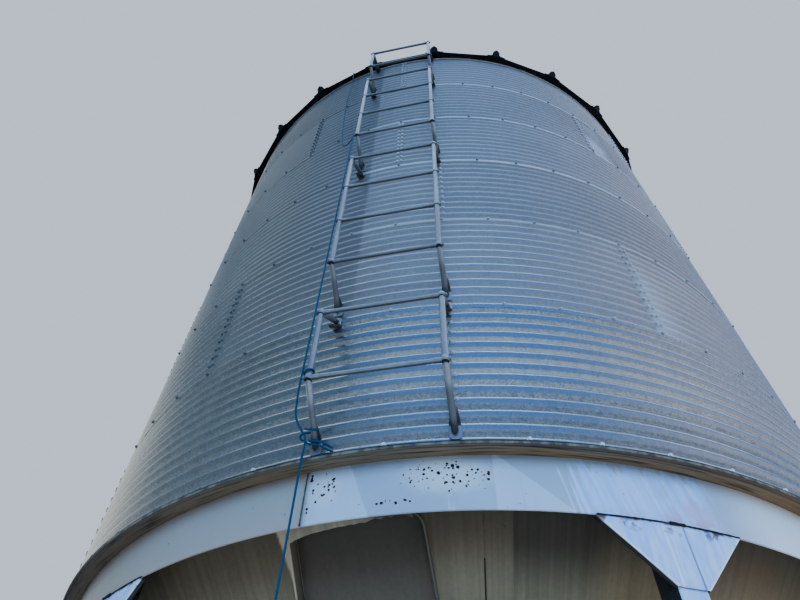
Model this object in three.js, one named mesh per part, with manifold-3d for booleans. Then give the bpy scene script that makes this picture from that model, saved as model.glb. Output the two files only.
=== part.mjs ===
// A hopper-bottom grain silo: a round bin of corrugated galvanised sheets under a ribbed
// cone roof, on a welded steel hopper with six legs. A bolted tube ladder climbs one side,
// and a pull rope runs from the roof lid over the eave and down beside the ladder.
//
// Millimetres, +Z up. The origin is on the silo's axis at ground level. An azimuth is in
// degrees from -Y towards +X. One leg stands at azimuth 0, on -Y.

import * as THREE from "three";
import { mergeVertices } from "three/addons/utils/BufferGeometryUtils.js";
import Module from "manifold-3d";

const wasm = await Module();
wasm.setup();

// Driving dimensions of the bin
const WALL_R = 2183; // crest of the corrugations, a wall of 540 inches round
const SHEET_DEPTH = 12.7; // depth of a corrugation
const RING_HEIGHT = 762; // cover of one ring of sheets
const RINGS = 6;
const WALL_BASE = 2950; // bottom row of wall bolts above the ground
const WALL_LIP = 10; // the lowest sheets reach below their bolts to the flange
const STEP_DEG = 10 / 3; // one facet of every round wall
const LADDER_AZ = 34.5; // azimuth of the ladder's centre line
// Azimuth of one vertical sheet joint in each ring, from the ladder's centre line
const RING_JOINTS = [20 / 3, 100 / 3, 20 / 3, 0, 40, 0];

// Driving dimensions of the roof
const ROOF_PANELS = 24;
const ROOF_SECTORS = 6;
const ROOF_R = 2248; // eave corners of the panels, at the ribs
const ROOF_SLOPE = 30;
const ROOF_SHEET = 3;
const RIB_HEIGHT = 73;
const RIB_FOOT = 44;
const RIB_CREST = 26;
const RIB_AZ = 27; // azimuth of one rib
const FILL_R = 305; // inside of the fill collar
const PANEL_TOP_R = 330; // the panels end here at the fill collar

// Driving dimensions of the hopper
const BAND_R = 2120;
const BAND_PLATE = 8;
const BAND_HEIGHT = 216;
const BAND_JOINT = -8.1; // from the ladder's centre line
const FLANGE_R = 2195;
const FLANGE_PLATE = 6;
const FLANGE_LIP = 18; // depth of the lip round the flange's outer edge
const UPSTAND_HEIGHT = 60;
const CONE_PLATE = 5;
const CONE_SLOPE = 45;
const CONE_DROP = 4; // the cone starts this far under the flange
const CONE_SECTORS = 6;
const CONE_JOINT = 9; // from the ladder's centre line
const OUTLET_R = 203;
const OUTLET_NECK = 150;
const GATE_SIZE = 470;
const GATE_HEIGHT = 56;

// Driving dimensions of the legs
const LEGS = 6;
const LEG_SIZE = 102;
const GUSSET_TOP = 520;
const GUSSET_FOOT = 106;
const GUSSET_HEIGHT = 213;
const GUSSET_PLATE = 10;
const BASE_PLATE = 250;
const BASE_THICK = 12;
const LEG_SETBACK = 1.8; // from the band's inner face to the leg's outer face

// Driving dimensions of the access opening in the cone
const HATCH_AZ = -4.3; // from the ladder's centre line
const HATCH_WIDTH = 496;
const HATCH_LENGTH = 600;
const HATCH_BAR = 6;
const HATCH_PROUD = 12;
const HATCH_DEPTH = 72;
const HATCH_COVER_DEPTH = 50;
const HATCH_BELOW_BASE = 143; // its top edge on the cone, under the wall's base

// Driving dimensions of the ladder
const RAIL_SPACING = 507;
const RAIL_OFF_WALL = 190.5; // from the chord between the rails' bolts
const RAIL_D = 25.4;
const RUNG_D = 19;
const RUNG_PITCH = 381;
const FIRST_RUNG = 205; // above the lower joint of the section that it belongs to
const FOOT_WIDTH = 46;
const FOOT_HEIGHT = 50;
const FOOT_PLATE = 8;
const FOOT_SINK = 0.8; // a rail's end lies this share of the foot's thickness off the wall
const RAIL_SIDES = 10;
const RUNG_SIDES = 8;
// The rail's bend beside its first and last rung: distance in from the rail's line, and
// height beyond the rung
const RAIL_BEND = [[22, 24], [6, 4], [0, -22]];
const LADDER_SECTIONS = [
  { rings: [0, 1], rungs: 2, lowFoot: 22, highFoot: -12 },
  { rings: [1, 3], rungs: 4, lowFoot: 50, highFoot: -12 },
  { rings: [3, 5], rungs: 4, lowFoot: 50, highFoot: -12 },
  { rings: [5, 6], rungs: 2, lowFoot: 50, highFoot: -42 },
];

// Driving dimensions of the pull rope
const ROPE_D = 8;
const ROPE_SIDES = 8;
const ROPE_STEPS = 3; // between two points of its route
const HAND_LOOP_R = 45;

const CLEAR = 0.3; // gap between touching pieces that aren't flat on each other
const FACET_SAG = 1; // the most that the flat of a facet lies inside the round it stands for
const OVER = 40; // a cutter reaches this far past what it cuts

const rad = THREE.MathUtils.degToRad;
const tan = (degrees) => Math.tan(rad(degrees));
const eaveZ = WALL_BASE + RINGS * RING_HEIGHT;
const flangeTopZ = WALL_BASE - WALL_LIP;
const bandTopZ = flangeTopZ - FLANGE_PLATE;
const bandBottomZ = bandTopZ - BAND_HEIGHT;

// Colours and finishes
const finish = (color, roughness, metalness) =>
  new THREE.MeshStandardMaterial({ color, roughness, metalness });
const galvanised = () => finish(0x97a1a9, 0.42, 0.85);
const roofSteel = () => finish(0x8d959b, 0.45, 0.85);
const whitePaint = () => finish(0xcfd3d6, 0.5, 0.0);
const shadedPaint = () => finish(0x8f8c7c, 0.6, 0.0);
const ringSteel = () => finish(0x7a6c58, 0.65, 0.2);
const zincTube = () => finish(0x9aa1a6, 0.4, 0.85);
const blueRope = () => finish(0x1f6ba5, 0.85, 0.0);

// Solids

function toManifold(geometry) {
  const bare = geometry.index ? geometry.toNonIndexed() : geometry.clone();
  bare.deleteAttribute("normal");
  bare.deleteAttribute("uv");
  const merged = mergeVertices(bare, 1e-3);
  return new wasm.Manifold(
    new wasm.Mesh({
      numProp: 3,
      vertProperties: new Float32Array(merged.attributes.position.array),
      triVerts: new Uint32Array(merged.index.array),
    }),
  );
}

function fromManifold(solid) {
  const mesh = solid.getMesh();
  const geometry = new THREE.BufferGeometry();
  const count = mesh.vertProperties.length / mesh.numProp;
  const positions = new Float32Array(count * 3);
  for (let i = 0; i < count; i++) {
    for (let axis = 0; axis < 3; axis++) {
      positions[3 * i + axis] = mesh.vertProperties[mesh.numProp * i + axis];
    }
  }
  geometry.setAttribute("position", new THREE.BufferAttribute(positions, 3));
  geometry.setIndex(new THREE.BufferAttribute(new Uint32Array(mesh.triVerts), 1));
  geometry.computeVertexNormals();
  return geometry;
}

const join = (...geometries) =>
  fromManifold(geometries.map(toManifold).reduce((whole, next) => whole.add(next)));

function cut(geometry, ...cutters) {
  const whole = toManifold(geometry);
  return fromManifold(cutters.map(toManifold).reduce((left, next) => left.subtract(next), whole));
}

const common = (first, second) => fromManifold(toManifold(first).intersect(toManifold(second)));

function named(name, geometry, material) {
  const mesh = new THREE.Mesh(geometry, material);
  mesh.name = name;
  return mesh;
}

// Plan and profile helpers

const planPoint = (r, azimuth) =>
  new THREE.Vector2(r * Math.sin(rad(azimuth)), -r * Math.cos(rad(azimuth)));

// A closed outline in plan, raised from z0 to z1
function prism(outline, z0, z1) {
  const geometry = new THREE.ExtrudeGeometry(new THREE.Shape(outline), {
    depth: z1 - z0,
    bevelEnabled: false,
    steps: 1,
  });
  return geometry.translate(0, 0, z0);
}

// An upright round wall between two azimuths, faceted at whole steps from the first
function arcWall(rIn, rOut, z0, z1, from, to) {
  const steps = Math.round((to - from) / STEP_DEG);
  const outer = [];
  const inner = [];
  for (let i = 0; i <= steps; i++) {
    const azimuth = from + ((to - from) * i) / steps;
    outer.push(planPoint(rOut, azimuth));
    inner.unshift(planPoint(rIn, azimuth));
  }
  return prism([...outer, ...inner], z0, z1);
}

// A half turn of wall that stops short of its neighbour by the clearance at each end
function halfWall(rIn, rOut, z0, z1, joint) {
  const wall = arcWall(rIn, rOut, z0, z1, joint, joint + 180);
  const slot = prism(
    [
      new THREE.Vector2(-rOut - 1, -CLEAR / 2),
      new THREE.Vector2(rOut + 1, -CLEAR / 2),
      new THREE.Vector2(rOut + 1, CLEAR / 2),
      new THREE.Vector2(-rOut - 1, CLEAR / 2),
    ],
    z0 - 1,
    z1 + 1,
  ).rotateZ(rad(joint - 90));
  return cut(wall, slot);
}

// A full turn of a closed profile of [r, z] points, with a facet's edge at the azimuth
function turned(profile, facets, azimuth) {
  const points = [...profile, profile[0]].map(([r, z]) => new THREE.Vector2(r, z));
  return new THREE.LatheGeometry(points, facets, rad(azimuth), 2 * Math.PI).rotateX(Math.PI / 2);
}

// A wedge of space between two azimuths less than a half turn apart
function wedge(reach, z0, z1, from, to) {
  const outline = [
    planPoint(0, from),
    planPoint(reach, from),
    planPoint(reach, (from + to) / 2),
    planPoint(reach, to),
  ];
  return prism(outline, z0, z1);
}

// A path through listed points, sampled only at those points
class Route extends THREE.Curve {
  constructor(points) {
    super();
    this.points = points;
  }
  getPoint(t) {
    const place = t * (this.points.length - 1);
    const i = Math.min(Math.floor(place), this.points.length - 2);
    return this.points[i].clone().lerp(this.points[i + 1], place - i);
  }
  getPointAt(t) {
    return this.getPoint(t);
  }
  getTangent(t) {
    const i = Math.round(t * (this.points.length - 1));
    const before = this.points[Math.max(i - 1, 0)];
    const here = this.points[i];
    const after = this.points[Math.min(i + 1, this.points.length - 1)];
    const arriving = here.clone().sub(before).normalize();
    const leaving = after.clone().sub(here).normalize();
    return arriving.add(leaving).normalize();
  }
  getTangentAt(t) {
    return this.getTangent(t);
  }
}

// A round bar along a route
function bar(points, diameter, sides) {
  const section = new THREE.Shape();
  for (let i = 0; i < sides; i++) {
    const angle = (2 * Math.PI * i) / sides;
    const x = (diameter / 2) * Math.cos(angle);
    const y = (diameter / 2) * Math.sin(angle);
    if (i === 0) section.moveTo(x, y);
    else section.lineTo(x, y);
  }
  section.closePath();
  return new THREE.ExtrudeGeometry(section, {
    steps: points.length - 1,
    extrudePath: new Route(points),
    bevelEnabled: false,
  });
}

// The corrugated wall: six rings of sheets, each in two halves, with staggered joints

function wall() {
  const group = new THREE.Group();
  for (let ring = 0; ring < RINGS; ring++) {
    const z0 = ring === 0 ? flangeTopZ : WALL_BASE + ring * RING_HEIGHT;
    const z1 = WALL_BASE + (ring + 1) * RING_HEIGHT;
    for (const [half, turn] of [["east", 0], ["west", 180]]) {
      const joint = LADDER_AZ + RING_JOINTS[ring] + turn;
      const sheets = halfWall(WALL_R - SHEET_DEPTH, WALL_R, z0, z1, joint);
      group.add(named(`wall_ring_${ring + 1}_${half}`, sheets, galvanised()));
    }
  }
  return group;
}

// The roof: flat panels from eave to fill collar, with a raised rib at every joint

const panelDeg = 360 / ROOF_PANELS;
const halfPanel = rad(panelDeg / 2);
const eaveRun = ROOF_R * Math.cos(halfPanel); // eave edge from the axis, at a panel's middle
const topRun = PANEL_TOP_R * Math.cos(halfPanel);
const roofEdgeZ = eaveZ + CLEAR - (eaveRun - WALL_R) * tan(ROOF_SLOPE);
const ribTan = tan(ROOF_SLOPE) * Math.cos(halfPanel); // fall of the roof along a rib's line
const roofZ = (r) => roofEdgeZ + (ROOF_R - r) * ribTan; // underside of the roof along a rib

// Places a shape drawn in the plane of one panel: x across, y up the slope from the eave
function ontoPanel(geometry, azimuth) {
  return geometry
    .rotateX(rad(ROOF_SLOPE))
    .translate(0, -eaveRun, roofEdgeZ)
    .rotateZ(rad(azimuth));
}

function roofPanel(azimuth) {
  const length = (eaveRun - topRun) / Math.cos(rad(ROOF_SLOPE));
  const halfEave = ROOF_R * Math.sin(halfPanel);
  const halfTop = PANEL_TOP_R * Math.sin(halfPanel);
  const outline = [
    new THREE.Vector2(-halfEave, 0),
    new THREE.Vector2(halfEave, 0),
    new THREE.Vector2(halfTop, length),
    new THREE.Vector2(-halfTop, length),
  ];
  return ontoPanel(prism(outline, 0, ROOF_SHEET), azimuth);
}

function roofRib(azimuth) {
  const slope = Math.atan(ribTan);
  const section = new THREE.Shape([
    new THREE.Vector2(-RIB_FOOT / 2, 0),
    new THREE.Vector2(RIB_FOOT / 2, 0),
    new THREE.Vector2(RIB_CREST / 2, RIB_HEIGHT),
    new THREE.Vector2(-RIB_CREST / 2, RIB_HEIGHT),
  ]);
  const length = (ROOF_R - PANEL_TOP_R) / Math.cos(slope);
  return new THREE.ExtrudeGeometry(section, { depth: length, bevelEnabled: false, steps: 1 })
    .rotateX(Math.PI / 2)
    .rotateZ(Math.PI)
    .rotateX(slope)
    .translate(0, -ROOF_R, roofEdgeZ)
    .rotateZ(rad(azimuth));
}

// The space that the next sector's first rib takes at this sector's far edge
function ribRoom(azimuth) {
  const half = RIB_FOOT / 2 + CLEAR;
  const outline = [
    new THREE.Vector2(-half, -ROOF_R - OVER),
    new THREE.Vector2(half, -ROOF_R - OVER),
    new THREE.Vector2(half, 0),
    new THREE.Vector2(-half, 0),
  ];
  return prism(outline, roofEdgeZ - OVER, roofZ(0) + 2 * RIB_HEIGHT).rotateZ(rad(azimuth));
}

function roof() {
  const group = new THREE.Group();
  const perSector = ROOF_PANELS / ROOF_SECTORS;
  for (let sector = 0; sector < ROOF_SECTORS; sector++) {
    const first = RIB_AZ + sector * perSector * panelDeg;
    const pieces = [];
    for (let i = 0; i < perSector; i++) {
      pieces.push(roofPanel(first + (i + 0.5) * panelDeg));
      pieces.push(roofRib(first + i * panelDeg));
    }
    const sheets = cut(join(...pieces), ribRoom(first + perSector * panelDeg));
    group.add(named(`roof_sector_${sector + 1}`, sheets, roofSteel()));
  }
  return group;
}

// The fill collar under the panels' top ends, and its weather lid

const COLLAR_RISE = 165;
const COLLAR_PLATE = 4;
const COLLAR_SKIRT_R = 420;
const LID_R = 332;
const LID_RIM = 45;
const LID_RISE = 70;
const LID_PLATE = 3;
const collarTopZ = roofZ(PANEL_TOP_R) + COLLAR_RISE;

function fillCollar() {
  const outer = FILL_R + COLLAR_PLATE;
  const under = (r) => roofZ(r) - 2 * CLEAR;
  return turned(
    [
      [FILL_R, under(FILL_R) - COLLAR_PLATE],
      [COLLAR_SKIRT_R, under(COLLAR_SKIRT_R) - COLLAR_PLATE],
      [COLLAR_SKIRT_R, under(COLLAR_SKIRT_R)],
      [outer, under(outer)],
      [outer, collarTopZ],
      [FILL_R, collarTopZ],
    ],
    ROOF_PANELS,
    RIB_AZ,
  );
}

function roofLid() {
  const seat = collarTopZ + CLEAR;
  const points = [
    [0, seat + LID_RISE],
    [LID_R, seat + LID_PLATE],
    [LID_R, seat - LID_RIM],
    [LID_R - LID_PLATE, seat - LID_RIM],
    [LID_R - LID_PLATE, seat],
    [FILL_R, seat],
    [0, seat + LID_RISE - LID_PLATE],
  ].map(([r, z]) => new THREE.Vector2(r, z));
  points.reverse();
  return new THREE.LatheGeometry(points, ROOF_PANELS, rad(RIB_AZ), 2 * Math.PI).rotateX(
    Math.PI / 2,
  );
}

// The hopper's ring: a rolled angle with a lip, that the wall stands on and is bolted to

function baseRing() {
  const upOut = WALL_R - SHEET_DEPTH - CLEAR;
  return turned(
    [
      [BAND_R - BAND_PLATE, bandTopZ],
      [FLANGE_R - FLANGE_PLATE, bandTopZ],
      [FLANGE_R - FLANGE_PLATE, flangeTopZ - FLANGE_LIP],
      [FLANGE_R, flangeTopZ - FLANGE_LIP],
      [FLANGE_R, flangeTopZ],
      [upOut, flangeTopZ],
      [upOut, flangeTopZ + UPSTAND_HEIGHT],
      [upOut - FLANGE_PLATE, flangeTopZ + UPSTAND_HEIGHT],
      [upOut - FLANGE_PLATE, flangeTopZ],
      [BAND_R - BAND_PLATE, flangeTopZ],
    ],
    360 / STEP_DEG,
    LADDER_AZ,
  );
}

function band(half, turn) {
  const joint = LADDER_AZ + BAND_JOINT + turn;
  const plate = halfWall(BAND_R - BAND_PLATE, BAND_R, bandBottomZ, bandTopZ, joint);
  return named(`hopper_band_${half}`, plate, whitePaint());
}

// The cone, in six welded sheets, with a framed access opening in one of them

const coneTopR = BAND_R - BAND_PLATE - FACET_SAG - CLEAR;
const coneTopZ = bandTopZ - CONE_DROP;
const coneR = (z) => coneTopR - (coneTopZ - z) / tan(CONE_SLOPE);
const coneZ = (r) => coneTopZ - (coneTopR - r) * tan(CONE_SLOPE);

// Places a shape drawn on the cone's face at the access opening: x across, y up the slope,
// z out of the face, with the origin in the middle of the opening
function ontoHatch(geometry) {
  const topZ = WALL_BASE - HATCH_BELOW_BASE;
  const down = HATCH_LENGTH / 2;
  const r = coneR(topZ) - down * Math.cos(rad(CONE_SLOPE));
  const z = topZ - down * Math.sin(rad(CONE_SLOPE));
  return geometry
    .rotateX(rad(90 + CONE_SLOPE))
    .translate(0, -r, z)
    .rotateZ(rad(LADDER_AZ + HATCH_AZ));
}

function block(width, length, z0, z1) {
  return new THREE.BoxGeometry(width, length, z1 - z0).translate(0, 0, (z0 + z1) / 2);
}

function coneSheet(sector) {
  const from = LADDER_AZ + CONE_JOINT + (360 / CONE_SECTORS) * sector;
  const shell = turned(
    [
      [OUTLET_R, coneZ(OUTLET_R)],
      [coneTopR, coneTopZ],
      [coneTopR - CONE_PLATE * Math.SQRT2, coneTopZ],
      [OUTLET_R, coneZ(OUTLET_R) + CONE_PLATE * Math.SQRT2],
    ],
    360 / STEP_DEG,
    LADDER_AZ + CONE_JOINT,
  );
  const room = wedge(3 * BAND_R, 0, WALL_BASE, from, from + 360 / CONE_SECTORS);
  const slots = [from, from + 360 / CONE_SECTORS].map((azimuth) =>
    new THREE.BoxGeometry(CLEAR, 2 * BAND_R, 2 * WALL_BASE)
      .translate(0, -BAND_R, WALL_BASE)
      .rotateZ(rad(azimuth)),
  );
  const hole = ontoHatch(
    block(
      HATCH_WIDTH + 2 * (HATCH_BAR + CLEAR),
      HATCH_LENGTH + 2 * (HATCH_BAR + CLEAR),
      -HATCH_DEPTH - OVER,
      HATCH_PROUD + OVER,
    ),
  );
  const cutters = sector === CONE_SECTORS - 1 ? [...slots, hole] : slots;
  const sheet = cut(common(shell, room), ...cutters);
  return named(`cone_sheet_${sector + 1}`, sheet, shadedPaint());
}

function hatchFrame() {
  const outer = block(
    HATCH_WIDTH + 2 * HATCH_BAR,
    HATCH_LENGTH + 2 * HATCH_BAR,
    -HATCH_DEPTH,
    HATCH_PROUD,
  );
  const inner = block(HATCH_WIDTH, HATCH_LENGTH, -HATCH_DEPTH - 1, HATCH_PROUD + 1);
  return named("hatch_frame", ontoHatch(cut(outer, inner)), shadedPaint());
}

function hatchCover() {
  const slack = 2 * CLEAR;
  const plate = block(
    HATCH_WIDTH - slack,
    HATCH_LENGTH - slack,
    -HATCH_COVER_DEPTH - CONE_PLATE,
    -HATCH_COVER_DEPTH,
  );
  return named("hatch_cover", ontoHatch(plate), shadedPaint());
}

// The outlet neck at the cone's foot, and the closed slide gate under it

const NECK_PLATE = 5;
const NECK_FACETS = 36;
const neckTopZ = coneZ(OUTLET_R) + CONE_PLATE;
const neckBottomZ = coneZ(OUTLET_R) - OUTLET_NECK;
const GATE_RAIL = 60; // width of the gate's frame round its mouth
const GATE_FLOOR = 6; // thickness of the sliding plate
const GATE_MOUTH = 31; // depth of the mouth above the plate
const GATE_STEM = [30, 120, 12];
const GATE_GRIP = [200, 20, 20];

function outletNeck() {
  const outer = OUTLET_R * Math.cos(rad(STEP_DEG / 2)) - CLEAR;
  return turned(
    [
      [outer - NECK_PLATE, neckBottomZ],
      [outer, neckBottomZ],
      [outer, neckTopZ],
      [outer - NECK_PLATE, neckTopZ],
    ],
    NECK_FACETS,
    LADDER_AZ + CONE_JOINT,
  );
}

function outletGate() {
  const bottomZ = neckBottomZ - GATE_HEIGHT;
  const plateTopZ = neckBottomZ - GATE_MOUTH;
  const plateMiddleZ = plateTopZ - GATE_FLOOR / 2;
  const opening = GATE_SIZE - 2 * GATE_RAIL;
  const frame = block(GATE_SIZE, GATE_SIZE, bottomZ, neckBottomZ);
  const mouth = block(opening, opening, plateTopZ, neckBottomZ + OVER);
  const under = block(opening, opening, bottomZ - OVER, plateTopZ - GATE_FLOOR);
  const stem = new THREE.BoxGeometry(...GATE_STEM).translate(
    0,
    -(GATE_SIZE + GATE_STEM[1]) / 2 + GATE_FLOOR,
    plateMiddleZ,
  );
  const grip = new THREE.BoxGeometry(...GATE_GRIP).translate(
    0,
    -GATE_SIZE / 2 - GATE_STEM[1],
    plateMiddleZ,
  );
  return join(cut(frame, mouth, under), stem, grip);
}

// A leg: square tube up to the cone, a folded gusset under the band and a base plate

function leg(azimuth) {
  const outerFace = BAND_R - BAND_PLATE - LEG_SETBACK;
  const innerFace = outerFace - LEG_SIZE;
  const underCone = (r) => coneZ(r) - 2 * CLEAR;
  const side = new THREE.Shape([
    new THREE.Vector2(-outerFace, BASE_THICK - 1),
    new THREE.Vector2(-innerFace, BASE_THICK - 1),
    new THREE.Vector2(-innerFace, underCone(innerFace)),
    new THREE.Vector2(-outerFace, underCone(outerFace)),
  ]);
  const tube = new THREE.ExtrudeGeometry(side, {
    depth: LEG_SIZE,
    bevelEnabled: false,
    steps: 1,
  })
    .rotateX(Math.PI / 2)
    .rotateZ(Math.PI / 2)
    .translate(-LEG_SIZE / 2, 0, 0);
  const footing = new THREE.BoxGeometry(BASE_PLATE, BASE_PLATE, BASE_THICK).translate(
    0,
    -(outerFace + innerFace) / 2,
    BASE_THICK / 2,
  );
  return join(tube, footing, gusset()).rotateZ(rad(azimuth));
}

// The gusset is folded beside the leg, so that its wings follow the band
function gusset() {
  const fold = THREE.MathUtils.radToDeg(Math.asin(LEG_SIZE / 2 / BAND_R));
  const tip = THREE.MathUtils.radToDeg(Math.asin(GUSSET_TOP / 2 / BAND_R));
  const azimuths = [-tip, -fold, fold, tip];
  const outer = azimuths.map((azimuth) => planPoint(BAND_R, azimuth));
  const inner = azimuths.map((azimuth) => planPoint(BAND_R - GUSSET_PLATE, azimuth)).reverse();
  const folded = prism([...outer, ...inner], bandBottomZ - GUSSET_HEIGHT, bandBottomZ);
  const face = new THREE.Shape([
    new THREE.Vector2(-GUSSET_TOP, bandBottomZ + 1),
    new THREE.Vector2(-GUSSET_TOP / 2, bandBottomZ),
    new THREE.Vector2(-GUSSET_FOOT / 2, bandBottomZ - GUSSET_HEIGHT),
    new THREE.Vector2(GUSSET_FOOT / 2, bandBottomZ - GUSSET_HEIGHT),
    new THREE.Vector2(GUSSET_TOP / 2, bandBottomZ),
    new THREE.Vector2(GUSSET_TOP, bandBottomZ + 1),
  ]);
  const reach = 5 * OVER;
  const taper = new THREE.ExtrudeGeometry(face, { depth: reach, bevelEnabled: false, steps: 1 })
    .rotateX(Math.PI / 2)
    .translate(0, -BAND_R + reach - OVER, 0);
  return common(folded, taper);
}

// The ladder, built on -Y and turned to its azimuth: each section has two bent rails whose
// flattened ends are bolted to the wall, and rungs between the rails

const boltDeg = THREE.MathUtils.radToDeg(Math.asin(RAIL_SPACING / 2 / WALL_R));
const chordRun = WALL_R * Math.cos(rad(boltDeg));
const railRun = chordRun + RAIL_OFF_WALL;

// The room that the bin takes, in the ladder's frame
const binOutline = Array.from({ length: 360 / STEP_DEG }, (_, i) =>
  planPoint(WALL_R + CLEAR, i * STEP_DEG),
);

function ladderFoot(side, z) {
  return new THREE.BoxGeometry(FOOT_WIDTH, FOOT_PLATE, FOOT_HEIGHT)
    .translate(0, -WALL_R - CLEAR - FOOT_PLATE / 2, z)
    .rotateZ(rad(side * boltDeg));
}

function ladderSection(index) {
  const { rings, rungs, lowFoot, highFoot } = LADDER_SECTIONS[index];
  const lowZ = WALL_BASE + rings[0] * RING_HEIGHT;
  const highZ = WALL_BASE + rings[1] * RING_HEIGHT;
  const firstRungZ = lowZ + FIRST_RUNG;
  const lastRungZ = firstRungZ + (rungs - 1) * RUNG_PITCH;
  const footRun = chordRun + FOOT_PLATE * FOOT_SINK;
  const pieces = [];
  for (const side of [-1, 1]) {
    const x = (side * RAIL_SPACING) / 2;
    const footX = side * (WALL_R + FOOT_PLATE * FOOT_SINK) * Math.sin(rad(boltDeg));
    const lowFootZ = lowZ + lowFoot;
    const highFootZ = highZ + highFoot;
    const lowBend = RAIL_BEND.map(
      ([inward, beyond]) => new THREE.Vector3(x, -railRun + inward, firstRungZ - beyond),
    );
    const highBend = RAIL_BEND.map(
      ([inward, beyond]) => new THREE.Vector3(x, -railRun + inward, lastRungZ + beyond),
    ).reverse();
    const lowEnd = new THREE.Vector3(footX, -footRun, lowFootZ);
    const highEnd = new THREE.Vector3(footX, -footRun, highFootZ);
    pieces.push(bar([lowEnd, ...lowBend, ...highBend, highEnd], RAIL_D, RAIL_SIDES));
    pieces.push(ladderFoot(side, lowFootZ), ladderFoot(side, highFootZ));
  }
  for (let i = 0; i < rungs; i++) {
    const z = firstRungZ + i * RUNG_PITCH;
    pieces.push(
      bar(
        [
          new THREE.Vector3(-RAIL_SPACING / 2, -railRun, z),
          new THREE.Vector3(RAIL_SPACING / 2, -railRun, z),
        ],
        RUNG_D,
        RUNG_SIDES,
      ),
    );
  }
  const bin = prism(binOutline, lowZ - RING_HEIGHT, highZ + RING_HEIGHT);
  return named(`ladder_section_${index + 1}`, cut(join(...pieces), bin), zincTube());
}

// The pull rope, in the ladder's frame: from the lid down the roof, over the eave, tied to
// the seventh rung's left end, down beside the left rail, hitched to the ladder's foot,
// and hanging to a hand loop

const ropeHalf = ROPE_D / 2;

function ropeRoute() {
  const around = (r, azimuth, z) => {
    const place = planPoint(r, azimuth);
    return new THREE.Vector3(place.x, place.y, z);
  };
  const onRoof = (r, azimuth, slack = 2) => {
    const lift = (ROOF_SHEET + ropeHalf + slack) / Math.cos(rad(ROOF_SLOPE));
    const run = r * Math.cos(rad(azimuth + panelDeg));
    return around(r, azimuth, roofEdgeZ + (eaveRun - run) * tan(ROOF_SLOPE) + lift);
  };
  const beside = (x, run, aboveBase) => new THREE.Vector3(x, -run, WALL_BASE + aboveBase);
  const plumbX = -RAIL_SPACING / 2 - RAIL_D / 2 - ropeHalf - 4;
  return [
    around(LID_R + ropeHalf + CLEAR, -15, collarTopZ - 22),
    onRoof(372, -15, 60),
    onRoof(430, -15, 16),
    onRoof(560, -15, 3),
    onRoof(1000, -14.2),
    onRoof(1500, -13.4),
    onRoof(2100, -12.9),
    onRoof(2218, -12.8),
    around(2239, -12.8, roofEdgeZ + 7),
    around(2243, -12.8, roofEdgeZ - 16),
    beside(-489, 2187, 4460),
    beside(-484, 2190, 4105),
    beside(-482, 2191, 3620),
    beside(-462, 2196, 3250),
    beside(-432, 2216, 2850),
    beside(-390, 2252, 2625),
    beside(-333, 2296, 2528),
    beside(-290, 2340, 2500),
    beside(plumbX, 2368, 2478),
    beside(plumbX, 2372, 2380),
    beside(plumbX, 2372, 1500),
    beside(plumbX, 2372, 420),
    beside(plumbX - 3, 2366, 240),
    beside(plumbX - 14, 2340, 130),
    beside(plumbX - 20, 2304, 66),
    beside(plumbX - 8, 2262, 40),
    beside(plumbX - 2, 2236, 30),
    beside(-289, 2206, -60),
    beside(-289, 2203, -300),
    beside(-289, 2203, -1180),
  ];
}

function pullRope() {
  const curve = new THREE.CatmullRomCurve3(ropeRoute(), false, "centripetal");
  return named(
    "pull_rope",
    bar(curve.getPoints(ROPE_STEPS * (curve.points.length - 1)), ROPE_D, ROPE_SIDES),
    blueRope(),
  );
}

function handLoop() {
  const end = ropeRoute().at(-1);
  const loop = new THREE.TorusGeometry(HAND_LOOP_R, ropeHalf, ROPE_SIDES, 24)
    .rotateX(Math.PI / 2)
    .translate(end.x, end.y, end.z - HAND_LOOP_R - ropeHalf - CLEAR);
  return named("rope_hand_loop", loop, blueRope());
}

// The silo

const silo = new THREE.Group();
silo.name = "grain_silo";
silo.add(wall());
silo.add(roof());
silo.add(named("fill_collar", fillCollar(), roofSteel()));
silo.add(named("roof_lid", roofLid(), roofSteel()));
silo.add(named("base_ring", baseRing(), ringSteel()));
silo.add(band("east", 0));
silo.add(band("west", 180));
for (let sector = 0; sector < CONE_SECTORS; sector++) {
  silo.add(coneSheet(sector));
}
silo.add(hatchFrame());
silo.add(hatchCover());
silo.add(named("outlet_neck", outletNeck(), shadedPaint()));
silo.add(named("outlet_gate", outletGate(), ringSteel()));
for (let i = 0; i < LEGS; i++) {
  silo.add(named(`leg_${i + 1}`, leg((360 / LEGS) * i), whitePaint()));
}

const ladderSide = new THREE.Group();
ladderSide.rotation.z = rad(LADDER_AZ);
for (let index = 0; index < LADDER_SECTIONS.length; index++) {
  ladderSide.add(ladderSection(index));
}
ladderSide.add(pullRope());
ladderSide.add(handLoop());
silo.add(ladderSide);

export default silo;
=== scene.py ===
# %% [markdown]
# This lesson dresses a grain silo. Its bin is a round wall of corrugated galvanised sheets under
# a ribbed cone roof. It stands on a welded steel hopper with six legs, and a bolted tube ladder
# climbs one side. The construction comes from a CAD model, which Blender loads as a fixed frame:
# every piece made here goes where the CAD piece is, and nothing is fitted afterwards.

import math
import random

import bmesh
import bpy
from mathutils import Matrix, Vector


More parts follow.
